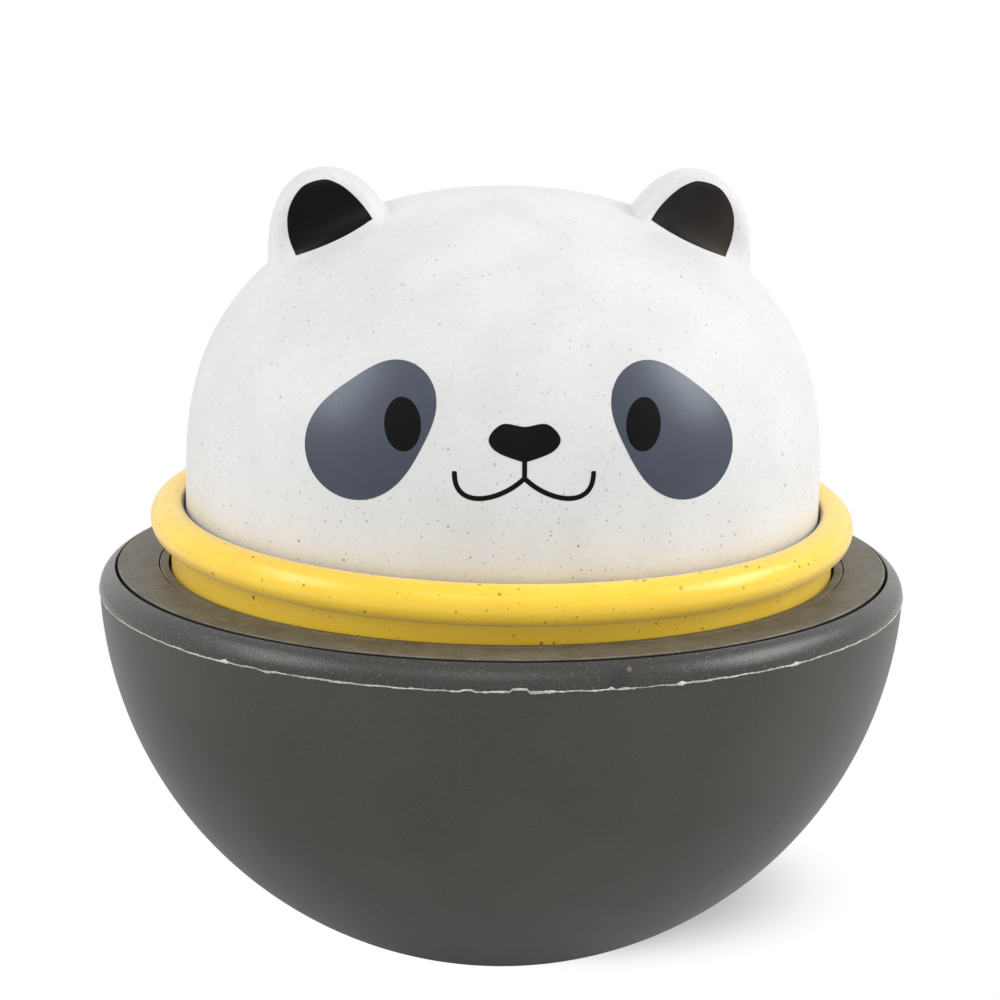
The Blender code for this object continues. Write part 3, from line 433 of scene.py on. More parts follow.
def dome_section(inset, bottom, steps):
    """Half section of the dome: straight side up to its base, then the superellipse to the top."""
    across, rise = HEAD_RADIUS - inset, DOME_HEIGHT - inset
    turn = np.linspace(0, math.pi / 2, steps + 1)
    radius = across * np.cos(turn).clip(0) ** (2 / DOME_POWER_ACROSS)
    height = DOME_BASE + rise * np.sin(turn) ** (2 / DOME_POWER_UP)
    radius[-1] = 0
    return np.vstack([[[across, bottom]], np.stack([radius, height], axis=-1)])


def on_head(across, height, proud, dome_only=True):
    """Points of the head's front surface at (x, z), moved forward: on the dome y is
    -sqrt(r(z)^2 - x^2), and on the ears it is found by halving."""
    if dome_only:
        rise = np.clip((height - DOME_BASE) / DOME_HEIGHT, 0, 1)
        radius = HEAD_RADIUS * (1 - rise**DOME_POWER_UP) ** (1 / DOME_POWER_ACROSS)
        depth = -np.sqrt(np.clip(radius**2 - across**2, 0, None))
    else:
        start = np.stack([across, 0 * across - 30 * MM, height], axis=-1)
        depth = crossing(start, np.array([0.0, 1.0, 0.0]), 0.0, 27 * MM)[..., 1]
    return np.stack([across, depth - proud, height], axis=-1)


def film(outline, centre, proud=PRINT_PROUD, dome_only=True, inward=14):
    """Thin print: rings of the outline shrunk towards a centre, front from the middle out, over the
    edge, and back to the middle behind the surface."""
    outline = np.asarray(outline, float)
    centre = np.asarray(centre, float)
    share = np.sin(np.linspace(0, 1, inward + 1) * math.pi / 2)[:, None, None]
    spread = centre + share * (outline - centre)
    front = on_head(spread[..., 0], spread[..., 1], proud, dome_only)
    back = on_head(spread[::-1, :, 0], spread[::-1, :, 1], -PRINT_SINK, dome_only)
    return skin(np.vstack([front, back]))


def ribbon(points, half, proud):
    """Printed line: a flat ring of six points carried along a path of (x, z) points, its width
    closing in a half circle at both ends."""
    path = np.asarray(points, float)
    step = np.gradient(path, axis=0)
    step /= np.linalg.norm(step, axis=1)[:, None]
    along = np.concatenate([[0], np.cumsum(np.linalg.norm(np.diff(path, axis=0), axis=1))])
    end = np.minimum(along, along[-1] - along)
    width = half * np.sqrt(np.clip(1 - (1 - np.clip(end / half, 0, 1)) ** 2, 0, None))
    side = np.stack([-step[:, 1], step[:, 0]], axis=-1)
    top = [(across, proud) for across in (-1, -0.4, 0.4, 1)]
    rows = []
    for across, lift in top + [(1, -PRINT_SINK), (-1, -PRINT_SINK)]:
        spot = path + across * width[:, None] * side
        rows.append(on_head(spot[:, 0], spot[:, 1], lift))
    rings = np.stack(rows, axis=1)
    rings[0] = rings[0].mean(axis=0)
    rings[-1] = rings[-1].mean(axis=0)
    return skin(rings)


def smooth(p0, p1, p2, p3):
    """Catmull-Rom curve from each point p1 to its p2, where p0 comes before and p3 after: half of
    p1 (2 - 5 t^2 + 3 t^3) + p2 (t + 4 t^2 - 3 t^3) + p0 (2 t^2 - t - t^3) + p3 (t^3 - t^2)."""
    t = np.linspace(0, 1, CURVE_STEPS, endpoint=False)[None, :, None]
    curve = p1 * (2 - 5 * t**2 + 3 * t**3) + p2 * (t + 4 * t**2 - 3 * t**3)
    curve += p0 * (-t + 2 * t**2 - t**3) + p3 * (t**3 - t**2)
    return (curve / 2).reshape(-1, 2)


def through(corners):
    """Smooth closed outline through its corners."""
    p1 = np.asarray(corners, float)[:, None]
    p0, p2, p3 = (np.roll(p1, k, axis=0) for k in (1, -1, -2))
    return smooth(p0, p1, p2, p3)


def inlay_outline(top, bow):
    """Outline of an ear's print: an open smooth curve over the top from the inner corner to the
    outer one, then a parabola back along the foot of the ear, whose middle is at the bow."""
    padded = np.vstack([2 * top[0] - top[1], top, 2 * top[-1] - top[-2]])
    curve = smooth(*(padded[k : len(padded) - 3 + k][:, None] for k in range(4)))
    a, b = top[-1], top[0]
    pull = 2 * bow - (a + b) / 2
    t = np.linspace(0, 1, 3 * CURVE_STEPS, endpoint=False)[:, None]
    foot = (1 - t) ** 2 * a + 2 * t * (1 - t) * pull + t**2 * b
    return np.vstack([curve, foot])


def patch_outline(count=160):
    """Egg round two points: |p - low|^w |p - high|^(1 - w) stays the same along it."""
    low, high = np.array(PATCH_LOW), np.array(PATCH_HIGH)
    centre = (low + high) / 2
    turn = np.linspace(0, 2 * math.pi, count, endpoint=False)
    ray = np.stack([np.cos(turn), np.sin(turn)], axis=-1)
    near, far = np.zeros(count), np.full(count, 4 * PATCH_SIZE)
    for _ in range(40):
        reach = (near + far) / 2
        spot = centre + reach[:, None] * ray
        size = np.linalg.norm(spot - low, axis=1) ** PATCH_LOW_WEIGHT
        size *= np.linalg.norm(spot - high, axis=1) ** (1 - PATCH_LOW_WEIGHT)
        near = np.where(size < PATCH_SIZE, reach, near)
        far = np.where(size < PATCH_SIZE, far, reach)
    return centre + near[:, None] * ray, centre


# Materials


class Value:
    """A number worked out in a shader. Arithmetic on it adds Math nodes."""

    def __init__(self, nodes, socket):
        self.nodes = nodes
        self.socket = socket

    def maths(self, operation, first, second=0.0):
        node = self.nodes.add("ShaderNodeMath", {"operation": operation}, {0: first, 1: second})
        return Value(self.nodes, node.outputs[0])

    def __add__(self, other):
        return self.maths("ADD", self, other)

    def __sub__(self, other):
        return self.maths("SUBTRACT", self, other)

    def __rsub__(self, other):
        return self.maths("SUBTRACT", other, self)

    def __mul__(self, other):
        return self.maths("MULTIPLY", self, other)

    def __pow__(self, other):
        return self.maths("POWER", self, other)

    __radd__ = __add__
    __rmul__ = __mul__

    def most(self, other):
        return self.maths("MAXIMUM", self, other)

    def under(self, other):
        return self.maths("LESS_THAN", self, other)

    def size(self):
        return self.maths("ABSOLUTE", self)

    def between(self, low, high):
        """0 up to low, 1 from high on, and smooth between them. High may be the smaller one."""
        inputs = {"Value": self, "From Min": low, "From Max": high}
        node = self.nodes.add("ShaderNodeMapRange", {"interpolation_type": "SMOOTHSTEP"}, inputs)
        return Value(self.nodes, node.outputs[0])


class Nodes:
    """The nodes of one material or of the world."""

    def __init__(self, tree):
        self.tree = tree

    def add(self, kind, settings=None, inputs=None):
        """Adds a node: its settings first, then the values or links of its sockets."""
        node = self.tree.nodes.new(kind)
        for name, value in (settings or {}).items():
            setattr(node, name, value)
        for name, value in (inputs or {}).items():
            self.put(node.inputs[name], value)
        return node

    def put(self, socket, value):
        """Links a socket to a value or an output, or sets it to a plain number or colour."""
        if isinstance(value, Value):
            value = value.socket
        if isinstance(value, bpy.types.NodeSocket):
            self.tree.links.new(value, socket)
        else:
            socket.default_value = value

    def seen(self, *others):
        """1 for rays from the camera, rays through glass and the others named, and 0 for the rest."""
        path = self.add("ShaderNodeLightPath")
        rays = Value(self, path.outputs["Is Camera Ray"])
        for name in ("Is Transmission Ray", *others):
            rays = rays.most(Value(self, path.outputs[name]))
        return rays


class Finish(Nodes):
    """One material, its Principled shader and the nodes that feed it."""

    def __init__(self, name, **sockets):
        self.material = bpy.data.materials.new(name)
        self.material.use_nodes = True
        super().__init__(self.material.node_tree)
        self.shader = self.tree.nodes["Principled BSDF"]
        self.place = self.add("ShaderNodeTexCoord").outputs["Object"]
        parts = self.add("ShaderNodeSeparateXYZ", {}, {0: self.place})
        self.x, self.y, self.z = (Value(self, parts.outputs[i]) for i in range(3))
        self.feed(**sockets)

    def feed(self, **sockets):
        """Sets or links sockets of the shader, written with _ for each space."""
        for name, value in sockets.items():
            self.put(self.shader.inputs[name.replace("_", " ")], value)

    def mix(self, share, first, second):
        """Colour between two colours."""
        inputs = {0: share, 6: first, 7: second}
        return self.add("ShaderNodeMix", {"data_type": "RGBA"}, inputs).outputs[2]

    def radius(self):
        """Distance from the upright axis."""
        return (self.x * self.x + self.y * self.y) ** 0.5

    def shifted(self, stretch=(1, 1, 1), move=(0, 0, 0), turn=(0, 0, 0)):
        """The place on the toy, moved, turned and stretched."""
        inputs = {"Vector": self.place, "Location": move, "Rotation": turn, "Scale": stretch}
        return self.add("ShaderNodeMapping", {}, inputs).outputs[0]

    def noise(self, grain, detail=2.0, rough=0.5, vector=None):
        """Cloudy value, about 0.3 to 0.7, whose features are about one grain across."""
        inputs = {
            "Vector": self.place if vector is None else vector,
            "Scale": 1 / grain,
            "Detail": detail,
            "Roughness": rough,
        }
        return Value(self, self.add("ShaderNodeTexNoise", {}, inputs).outputs[0])

    def tinge(self, share, first, second):
        """Makes the base colour one between two colours."""
        self.base = self.mix(share, first, second)
        self.feed(Base_Color=self.base)

    def lay(self, share, colour):
        """Lays a colour over the base colour, thin or thick by its share."""
        self.tinge(share, self.base, colour)

    def cloudy(self, grain, detail, first, second, rough=0.5):
        """Makes the base colour drift between two colours over about one grain."""
        self.tinge(self.noise(grain, detail, rough).between(0.3, 0.7), first, second)

    def flecks(self, spacing, radius, share, move=(0, 0, 0), stretch=(1, 1, 1), turn=(0, 0, 0)):
        """1 inside round flecks, and a number from 0 to 1 drawn for each. One point lies at random
        in each cell of a grid of the spacing, and the given share of the points carries a fleck."""
        inputs = {"Vector": self.shifted(stretch, move, turn), "Scale": 1 / spacing}
        cells = self.add("ShaderNodeTexVoronoi", {}, inputs)
        chance = self.add("ShaderNodeSeparateColor", {}, {0: cells.outputs["Color"]})
        reach = radius / spacing
        size = (Value(self, chance.outputs[1]) * 0.6 + 0.4) * reach
        inside = (size - Value(self, cells.outputs["Distance"])).between(0.0, reach * 0.35)
        return inside * Value(self, chance.outputs[0]).under(share), Value(self, chance.outputs[2])

    def near(self, place, inner, outer):
        """1 within the inner distance of a place on the toy, and 0 beyond the outer distance."""
        gap = self.add("ShaderNodeVectorMath", {"operation": "DISTANCE"}, {0: self.place, 1: place})
        return Value(self, gap.outputs["Value"]).between(outer, inner)

    def bump(self, height, distance, normal=None):
        """Normal of a surface raised by a height between 0 and 1, times the distance in metres."""
        inputs = {"Height": height, "Distance": distance, "Strength": 1.0}
        if normal is not None:
            inputs["Normal"] = normal
        return self.add("ShaderNodeBump", {}, inputs).outputs[0]


def paint(red, green, blue):
    """Shader colour from the colour as it looks on a screen, 0 to 255."""
    screen = [c / 255 for c in (red, green, blue)]
    light = [c / 12.92 if c <= 0.04045 else ((c + 0.055) / 1.055) ** 2.4 for c in screen]
    return (*light, 1.0)


def white_speckled():
    """Off-white moulded plastic with bamboo flecks, denser and browner low on the head."""
    f = Finish("white speckled plastic", IOR=1.42)
    low = f.z.between(DOME_BASE + 14 * MM, HEAD_RIM + 6 * MM)
    f.cloudy(9 * MM, 3.0, paint(235, 235, 235), paint(229, 229, 228))
    mottle = f.noise(0.6 * MM, 2.0, 0.6)
    f.lay(mottle.between(0.52, 0.75) * 0.16, paint(178, 176, 170))
    grey, brown = paint(150, 147, 140), paint(128, 112, 94)
    for spacing, radius, share, strength in (
        (0.6 * MM, 0.14 * MM, 0.35, 0.5),
        (0.9 * MM, 0.2 * MM, 0.6, 0.7),
        (1.2 * MM, 0.24 * MM, 0.65, 0.85),
    ):
        mask, tone = f.flecks(spacing, radius, share, move=(spacing, 3 * spacing, 0))
        colour = f.mix(low * tone, grey, brown)
        f.lay(mask * (tone * 0.6 + 0.4) * (low * 0.4 + 0.6) * strength, colour)
    fibre, _ = f.flecks(1.2 * MM, 0.14 * MM, 0.15, stretch=(0.4, 0.4, 1.2), turn=(0.4, 0.7, 0.2))
    f.lay(fibre * (low * 0.4 + 0.25), paint(150, 136, 118))
    f.feed(Roughness=f.noise(0.7 * MM, 2.0) * 0.12 + 0.46)
    f.feed(Normal=f.bump(f.noise(0.45 * MM, 3.0), 0.006 * MM))
    return f.material


def yellow_speckled():
    """Warm yellow moulded plastic, a little translucent, with brown flecks. Shade is painted on the
    underside of the bead, in the crease under it and in the narrow gap round the head, and a faint
    painted glow stands in for the light that comes through the plastic."""
    f = Finish("yellow speckled plastic", IOR=1.5, Sheen_Weight=0.34, Sheen_Roughness=0.45)
    level = f.z + f.x * BEAD_TILT_SIDE - (f.y + BEAD_CENTRE[0]) * BEAD_TILT_BACK
    gap = f.radius().between(COLLAR_BORE + 0.5 * MM, COLLAR_BORE + 0.02 * MM)
    f.cloudy(6 * MM, 3.0, paint(255, 216, 62), paint(254, 209, 54))
    for spacing, radius, share, strength in (
        (0.7 * MM, 0.15 * MM, 0.35, 0.6),
        (1.1 * MM, 0.24 * MM, 0.45, 0.8),
        (1.7 * MM, 0.32 * MM, 0.6, 1.0),
    ):
        mask, tone = f.flecks(spacing, radius, share, move=(2 * spacing, 0, spacing))
        f.lay(mask * (tone * 0.5 + 0.5) * strength, paint(98, 54, 4))
    above = level - (BEAD_CENTRE[1] - BEAD_RADIUS)
    # Painted shade on the underside of the bead, fading out upwards from its bottom.
    painted_shade = above.between(1.2 * MM, 0.0) * (above * -1).under(0.05 * MM)
    f.lay(painted_shade * 0.4, paint(168, 110, 26))
    # Painted shade: a dark brown line along the crease under the bead.
    crease = above.size().between(0.32 * MM, 0.0)
    f.lay(crease * 0.95, paint(80, 44, 6))
    # Painted shade in the narrow gap round the head.
    f.lay(gap, paint(58, 26, 6))
    # Painted glow: a faint yellow emission all over, for light that comes through the plastic, left out in
    # the gap and the crease.
    glow = f.mix(gap.most(crease * 0.7), paint(255, 206, 70), BLACK)
    f.feed(Emission_Color=glow, Emission_Strength=0.09)
    f.feed(Roughness=f.noise(3 * MM, 2.0) * 0.1 + 0.24)
    f.feed(Normal=f.bump(f.noise(4 * MM, 1.0), 0.004 * MM))
    return f.material


def charcoal_bowl():
    """Dark grey plastic: fine matt grain below the parting line, glossier and pitted on the rim, with
    painted glints in the rim's pits and painted shade on the inside of its top round the deck.
    """
    f = Finish("charcoal bowl plastic", IOR=1.47, Sheen_Weight=0.13, Sheen_Roughness=0.4)
    rim = f.z.between(PARTING_HEIGHT - 0.1 * MM, PARTING_HEIGHT + 0.15 * MM)
    f.cloudy(14 * MM, 4.0, paint(49, 48, 43), paint(57, 56, 51))
    grain = f.noise(0.32 * MM, 3.0, 0.6)
    f.lay(grain.between(0.35, 0.7) * 0.35, paint(72, 71, 66))
    pale, tone = f.flecks(0.9 * MM, 0.15 * MM, 0.35)
    f.lay(pale * tone * 0.55, paint(118, 116, 110))
    dark, tone = f.flecks(1.3 * MM, 0.22 * MM, 0.35, move=(MM, MM, 0))
    f.lay(dark * tone * 0.8, paint(28, 27, 25))
    pits_and_glints = f.noise(0.3 * MM, 4.0, 0.7)
    f.lay(rim * 0.25, paint(36, 38, 38))
    # Painted glints: pale spots in the rim's pits.
    f.lay(rim * pits_and_glints.between(0.58, 0.7) * 0.45, paint(160, 160, 158))
    smudge = f.near(SMUDGE_PLACE, 0.7 * MM, 1.9 * MM)
    f.lay(smudge * 0.55, paint(30, 31, 31))
    chip = f.near(CHIP_PLACE, 0.1 * MM, 0.45 * MM)
    f.lay(chip * 0.7, paint(150, 128, 106))
    # Painted shade on the bore wall and the inside of the top, round the deck, where the joint is in
    # shade.
    painted_joint_shade = f.radius().under(RIM_BORE + 0.07 * MM) * (PARTING_HEIGHT + 0.5 * MM - f.z).under(0.0)
    f.lay(painted_joint_shade, paint(12, 12, 11))
    f.feed(Roughness=(0.47 - rim * 0.23) + (grain - 0.5) * 0.25)
    matt = f.bump(grain, 0.016 * MM, normal=f.bump(f.noise(2.5 * MM, 2.0), 0.02 * MM))
    f.feed(Normal=f.bump(rim * pits_and_glints, 0.034 * MM, normal=matt))
    return f.material


def charcoal_deck():
    """Dark brownish ring that the head turns on: cloudy, grainy, with a few short scratches, with
    painted highlights in patches along its edges and painted shade on all of it below its top face,
    where the joints are."""
    f = Finish("charcoal deck plastic", IOR=1.46)
    f.cloudy(3 * MM, 4.0, paint(88, 84, 73), paint(107, 102, 91), 0.6)
    mottle = f.noise(0.5 * MM, 3.0, 0.65)
    f.lay(mottle.between(0.5, 0.3) * 0.4, paint(60, 57, 49))
    f.lay(mottle.between(0.52, 0.72) * 0.4, paint(140, 136, 124))
    for turn, move in ((0.5, 0.0), (-0.9, 7 * MM)):
        scratch, tone = f.flecks(
            2.6 * MM, 0.22 * MM, 0.5, move=(move, 0, 0), stretch=(0.22, 1.0, 1.0), turn=(0, 0, turn)
        )
        f.lay(scratch * tone * 0.7, paint(165, 161, 149))
    pale, tone = f.flecks(1.1 * MM, 0.14 * MM, 0.3)
    f.lay(pale * tone * 0.6, paint(160, 156, 144))
    rubbed = f.near(RUBBED_PLACE, 2.0 * MM, 5.5 * MM)
    for turn in (0.75, 1.1):
        line, tone = f.flecks(1.3 * MM, 0.13 * MM, 0.8, stretch=(0.16, 1.0, 1.0), turn=(0, 0, turn))
        f.lay(rubbed * line * (tone * 0.5 + 0.5) * 0.9, paint(176, 172, 160))
    # Painted highlights: pale lines in patches along the deck's outer edge, its bore and the running
    # ring's edge.
    painted_shine = f.noise(5 * MM, 3.0, 0.6).between(0.42, 0.62)
    radius = f.radius()
    for edge in (DECK_RADIUS - 0.13 * MM, DECK_BORE + 0.1 * MM, RING_RADIUS - 0.1 * MM):
        line = (radius - edge).size().between(0.13 * MM, 0.02 * MM)
        f.lay(line * painted_shine * 0.45, paint(165, 161, 149))
    # Painted shade: everything below the deck's top face is near black, as the joints round it are in
    # shade.
    f.lay((f.z - (DECK_TOP - 0.14 * MM)).under(0.0), paint(12, 11, 10))
    grain = f.noise(0.3 * MM, 2.0)
    f.feed(Roughness=grain * 0.2 + 0.42)
    f.feed(Normal=f.bump(grain, 0.014 * MM))
    return f.material


def pale_flash():
    """Rubbed pale plastic of the ragged moulding line."""
    f = Finish("pale moulding line", Roughness=0.6)
    patchy = f.noise(1.6 * MM, 3.0)
    f.tinge(patchy.between(0.35, 0.65), paint(224, 221, 210), paint(178, 175, 165))
    f.feed(Normal=f.bump(f.noise(0.15 * MM, 2.0), 0.01 * MM))
    return f.material


def give_tooth(f, roughness, rise):
    """Slight tooth of printed ink: fine grain in its roughness, round a middle, and its height."""
    tooth = f.noise(0.3 * MM, 2.0)
    f.feed(Roughness=(tooth - 0.5) * 0.1 + roughness)
    f.feed(Normal=f.bump(tooth, rise))


def print_ink(name, colour, other, roughness, gloss, rise, shine=WHITE):
    """Thin printed ink. Gloss is its refractive index, shine the tint of what it reflects."""
    f = Finish(name, IOR=gloss, Specular_Tint=shine)
    f.cloudy(4 * MM, 3.0, colour, other)
    give_tooth(f, roughness, rise)
    return f.material


def ink_with_painted_sheen():
    """Black ink of the right ear, greyer all over and browner low on its outer side: a painted sheen."""
    f = Finish("black print with painted sheen", IOR=1.2)
    # Painted sheen: paler ink all over, and a browner patch low on the outer side.
    low = (f.x * 0.8 - f.z * 0.6).between(-39.5 * MM, -33.5 * MM)
    patchy = f.noise(3 * MM, 3.0, 0.6).between(0.25, 0.7)
    f.tinge(patchy, paint(33, 31, 32), paint(43, 41, 41))
    f.lay(low * 0.85, paint(60, 52, 45))
    give_tooth(f, 0.4, 0.004 * MM)
    return f.material


def moulded_plastic():
    """Plain grey-white plastic of the works inside."""
    f = Finish("grey-white works plastic", IOR=1.46)
    f.cloudy(3 * MM, 3.0, paint(205, 203, 196), paint(192, 190, 183))
    f.feed(Roughness=f.noise(0.6 * MM, 2.0) * 0.2 + 0.4)
    f.feed(Normal=f.bump(f.noise(0.5 * MM, 2.0), 0.008 * MM))
    return f.material


def cast_iron():
    """Rough sand-cast iron with a trace of rust."""
    f = Finish("cast iron", Metallic=0.6)
    rust = f.noise(4 * MM, 5.0, 0.65)
    f.tinge(rust.between(0.5, 0.66), paint(74, 73, 72), paint(104, 74, 54))
    f.feed(Roughness=f.noise(1 * MM, 3.0) * 0.3 + 0.5)
    f.feed(Normal=f.bump(f.noise(0.8 * MM, 4.0, 0.6), 0.12 * MM))
    return f.material


def bright_metal(name, colour, other, roughness, stretch):
    """Bright metal with fine drawn or turned lines."""
    f = Finish(name, Metallic=1.0)
    lines = f.noise(0.4 * MM, 3.0, vector=f.shifted(stretch))
    f.tinge(lines, colour, other)
    f.feed(Roughness=(lines - 0.5) * 0.2 + roughness)
    f.feed(Normal=f.bump(lines, 0.004 * MM))
    return f.material


# Pieces


def build_bowl(material, flash):
    """Bowl: foot, outer sphere, round of the rim, bore, ledge and inner sphere swung round the axis.
    The bosses for the weight's screws stand in it, with blind bores."""
    centre = (0.0, SPHERE_HEIGHT)
    inner = BOWL_RADIUS - BOWL_WALL
    parting = math.degrees(math.asin((PARTING_HEIGHT - SPHERE_HEIGHT) / BOWL_RADIUS))
    rim_centre = (BOWL_RADIUS - RIM_ROUND, PARTING_HEIGHT)
    rim_end = math.degrees(math.acos((RIM_BORE + 0.12 * MM - rim_centre[0]) / RIM_ROUND))
    profile = np.vstack(
        [
            [(0.0, 0.0), (0.5 * FOOT_RADIUS, 0.0)],
            arc(centre, BOWL_RADIUS, sphere_angle(BOWL_RADIUS, FOOT_RADIUS), parting, 110),
            arc(rim_centre, RIM_ROUND, 0, rim_end, 22),
            eased(
                [
                    (RIM_BORE + 0.1 * MM, DECK_TOP - 0.22 * MM, 0),
                    (RIM_BORE, DECK_TOP - 0.3 * MM, 0.06 * MM),
                    (RIM_BORE, LEDGE_HEIGHT, 0.2 * MM),
                    (THROAT_RADIUS, LEDGE_HEIGHT, 0.2 * MM),
                    (THROAT_RADIUS - 0.2 * MM, LEDGE_HEIGHT - 3 * MM, 0),
                ],
                closed=False,
            ),
            arc(centre, inner, sphere_angle(inner, THROAT_RADIUS - 0.4 * MM), -90, 60)[:-1],
            [(0.0, SPHERE_HEIGHT - inner)],
        ]
    )
    piece("bowl_shell", [turned(profile)], material, "base", ["base_bowl"])
    foot = SPHERE_HEIGHT - math.sqrt(inner**2 - BOSS_CIRCLE**2) - BOSS_SINK
    boss = eased(
        [
            (0, foot, 0),
            (BOSS_RADIUS, foot, 0),
            (BOSS_RADIUS, BOSS_TOP, 0.25 * MM),
            (BOSS_BORE, BOSS_TOP, 0.15 * MM),
            (BOSS_BORE, BOSS_BORE_FLOOR, 0),
            (0, BOSS_BORE_FLOOR, 0),
        ],
        closed=False,
    )
    bosses = [turned(boss, BOSS_ROUND, spot) for spot in places(BOSS_CIRCLE, BOSS_ANGLES)]
    piece("bowl_bosses", bosses, material, "base", crease=40)
    build_flash(flash)


def build_flash(material):
    """Ragged line of moulding flash: a low hump of height h(a) and half width w(a), centred on
    z0(a), all three wandering with the angle a round the bowl, with swellings and steps added. They
    are worked out in millimetres."""
    angle = np.linspace(0, 2 * math.pi, FLASH_ROUND, endpoint=False)
    degrees = np.degrees((angle - 1.5 * math.pi + math.pi) % (2 * math.pi) - math.pi)
    height = 0.07 + 0.025 * waves(angle, 3, 90, 700, 14) + 0.015 * waves(angle, 4, 6, 40, 6)
    width = 0.105 + 0.03 * waves(angle, 5, 60, 500, 12) + 0.02 * waves(angle, 6, 5, 30, 6)
    drift = 0.05 * waves(angle, 7, 3, 18, 6) + 0.022 * waves(angle, 8, 200, 900, 12)
    drift = drift + 0.03 * np.tanh(3 * waves(angle, 9, 20, 110, 8))
    shapes = []
    for middle, spread, *amounts in FLASH_SWELLINGS:
        shapes.append((np.exp(-(((degrees - middle) / spread) ** 2)), amounts))
    for start, stop, *amounts in FLASH_STEPS:
        shelf = np.tanh((degrees - start) / 0.12) - np.tanh((degrees - stop) / 0.12)
        shapes.append((shelf / 2, amounts))
    for shape, (rise, wide, shift) in shapes:
        height = height + rise * shape
        width = width + wide * shape
        drift = drift + shift * shape
    height = np.clip(height, 0.025, 0.16) * MM
    width = np.clip(width, 0.05, 0.3) * MM
    section = np.linspace(0, math.pi, 9)
    level = PARTING_HEIGHT + drift * MM + width * np.cos(section)[:, None]
    below = np.sqrt(BOWL_RADIUS**2 - np.clip(SPHERE_HEIGHT - level, 0, None) ** 2)
    rise = np.clip(level - PARTING_HEIGHT, 0, None)
    above = BOWL_RADIUS - RIM_ROUND + np.sqrt(RIM_ROUND**2 - rise**2)
    surface = np.where(level < PARTING_HEIGHT, below, above)
    radius = surface - 0.02 * MM + height * np.sin(section)[:, None]
    rows = [np.stack([radius * np.cos(angle), radius * np.sin(angle), level], axis=-1)]
    back = level[[-1, 0]]
    sunk = radius[[-1, 0]] - 0.25 * MM
    rows.append(np.stack([sunk * np.cos(angle), sunk * np.sin(angle), back], axis=-1))
    hump = [skin(np.vstack(rows), loop=True)]
    piece("parting_line", hump, material, "base", crease=None)


def build_deck(material):
    """Deck and the narrow ring in it, each a stepped half section swung round the axis."""
    profile = eased(
        [
            (DECK_LIP_BORE, DECK_BOTTOM, 0.1 * MM),
            (DECK_RADIUS, DECK_BOTTOM, 0.2 * MM),
            (DECK_RADIUS, DECK_TOP, 0.16 * MM),
            (DECK_BORE, DECK_TOP, 0.07 * MM),
            (DECK_BORE, DECK_LIP_TOP, 0.1 * MM),
            (DECK_LIP_BORE, DECK_LIP_TOP, 0.1 * MM),
        ]
    )
    piece("deck", [turned(profile)], material, "base", ["deck_ring"])
    profile = eased(
        [
            (RING_SEAT_BORE, RING_BOTTOM, 0.1 * MM),
            (RING_RADIUS, RING_BOTTOM, 0.1 * MM),
            (RING_RADIUS, DECK_TOP, 0.07 * MM),
            (RING_FLANGE_BORE, DECK_TOP, 0.1 * MM),
            (RING_FLANGE_BORE, RING_SEAT_TOP, 0.1 * MM),
            (RING_SEAT_BORE, RING_SEAT_TOP, 0.1 * MM),
        ]
    )
    piece("running_ring", [turned(profile)], material, "base", ["bearing_ring"])


def build_collar(material):
    """Collar: neck, shoulder, band, round bead and floor swung round the axis, tilted as it sits."""
    shoulder = RING_SEAT_TOP + 0.3 * MM
    crease = -math.degrees(math.acos((COLLAR_BAND - BEAD_CENTRE[0]) / BEAD_RADIUS))
    lip = math.degrees(math.acos((COLLAR_BORE - BEAD_CENTRE[0]) / BEAD_RADIUS))
    bead = arc(BEAD_CENTRE, BEAD_RADIUS, crease + 4, lip, 40)
    start = eased(
        [
            (COLLAR_FLOOR_BORE, COLLAR_BOTTOM, 0),
            (COLLAR_NECK, COLLAR_BOTTOM, 0.2 * MM),
            (COLLAR_NECK, shoulder, 0.2 * MM),
            (COLLAR_BAND, shoulder, 0.2 * MM),
            (COLLAR_BAND, BEAD_CENTRE[1] - BEAD_RADIUS - 0.02 * MM, 0.12 * MM),
            (bead[0][0], bead[0][1], 0),
        ],
        closed=False,
    )
    end = eased(
        [
            (bead[-1][0], bead[-1][1], 0),
            (COLLAR_BORE, COLLAR_FLOOR_TOP, 0.2 * MM),
            (COLLAR_FLOOR_BORE, COLLAR_FLOOR_TOP, 0.2 * MM),
        ],
        closed=False,
    )
    profile = np.vstack([start, bead[1:], end[1:]])
    ring = [turned(profile)]
    piece("collar_ring", ring, material, "head", ["collar"], tilted=True)


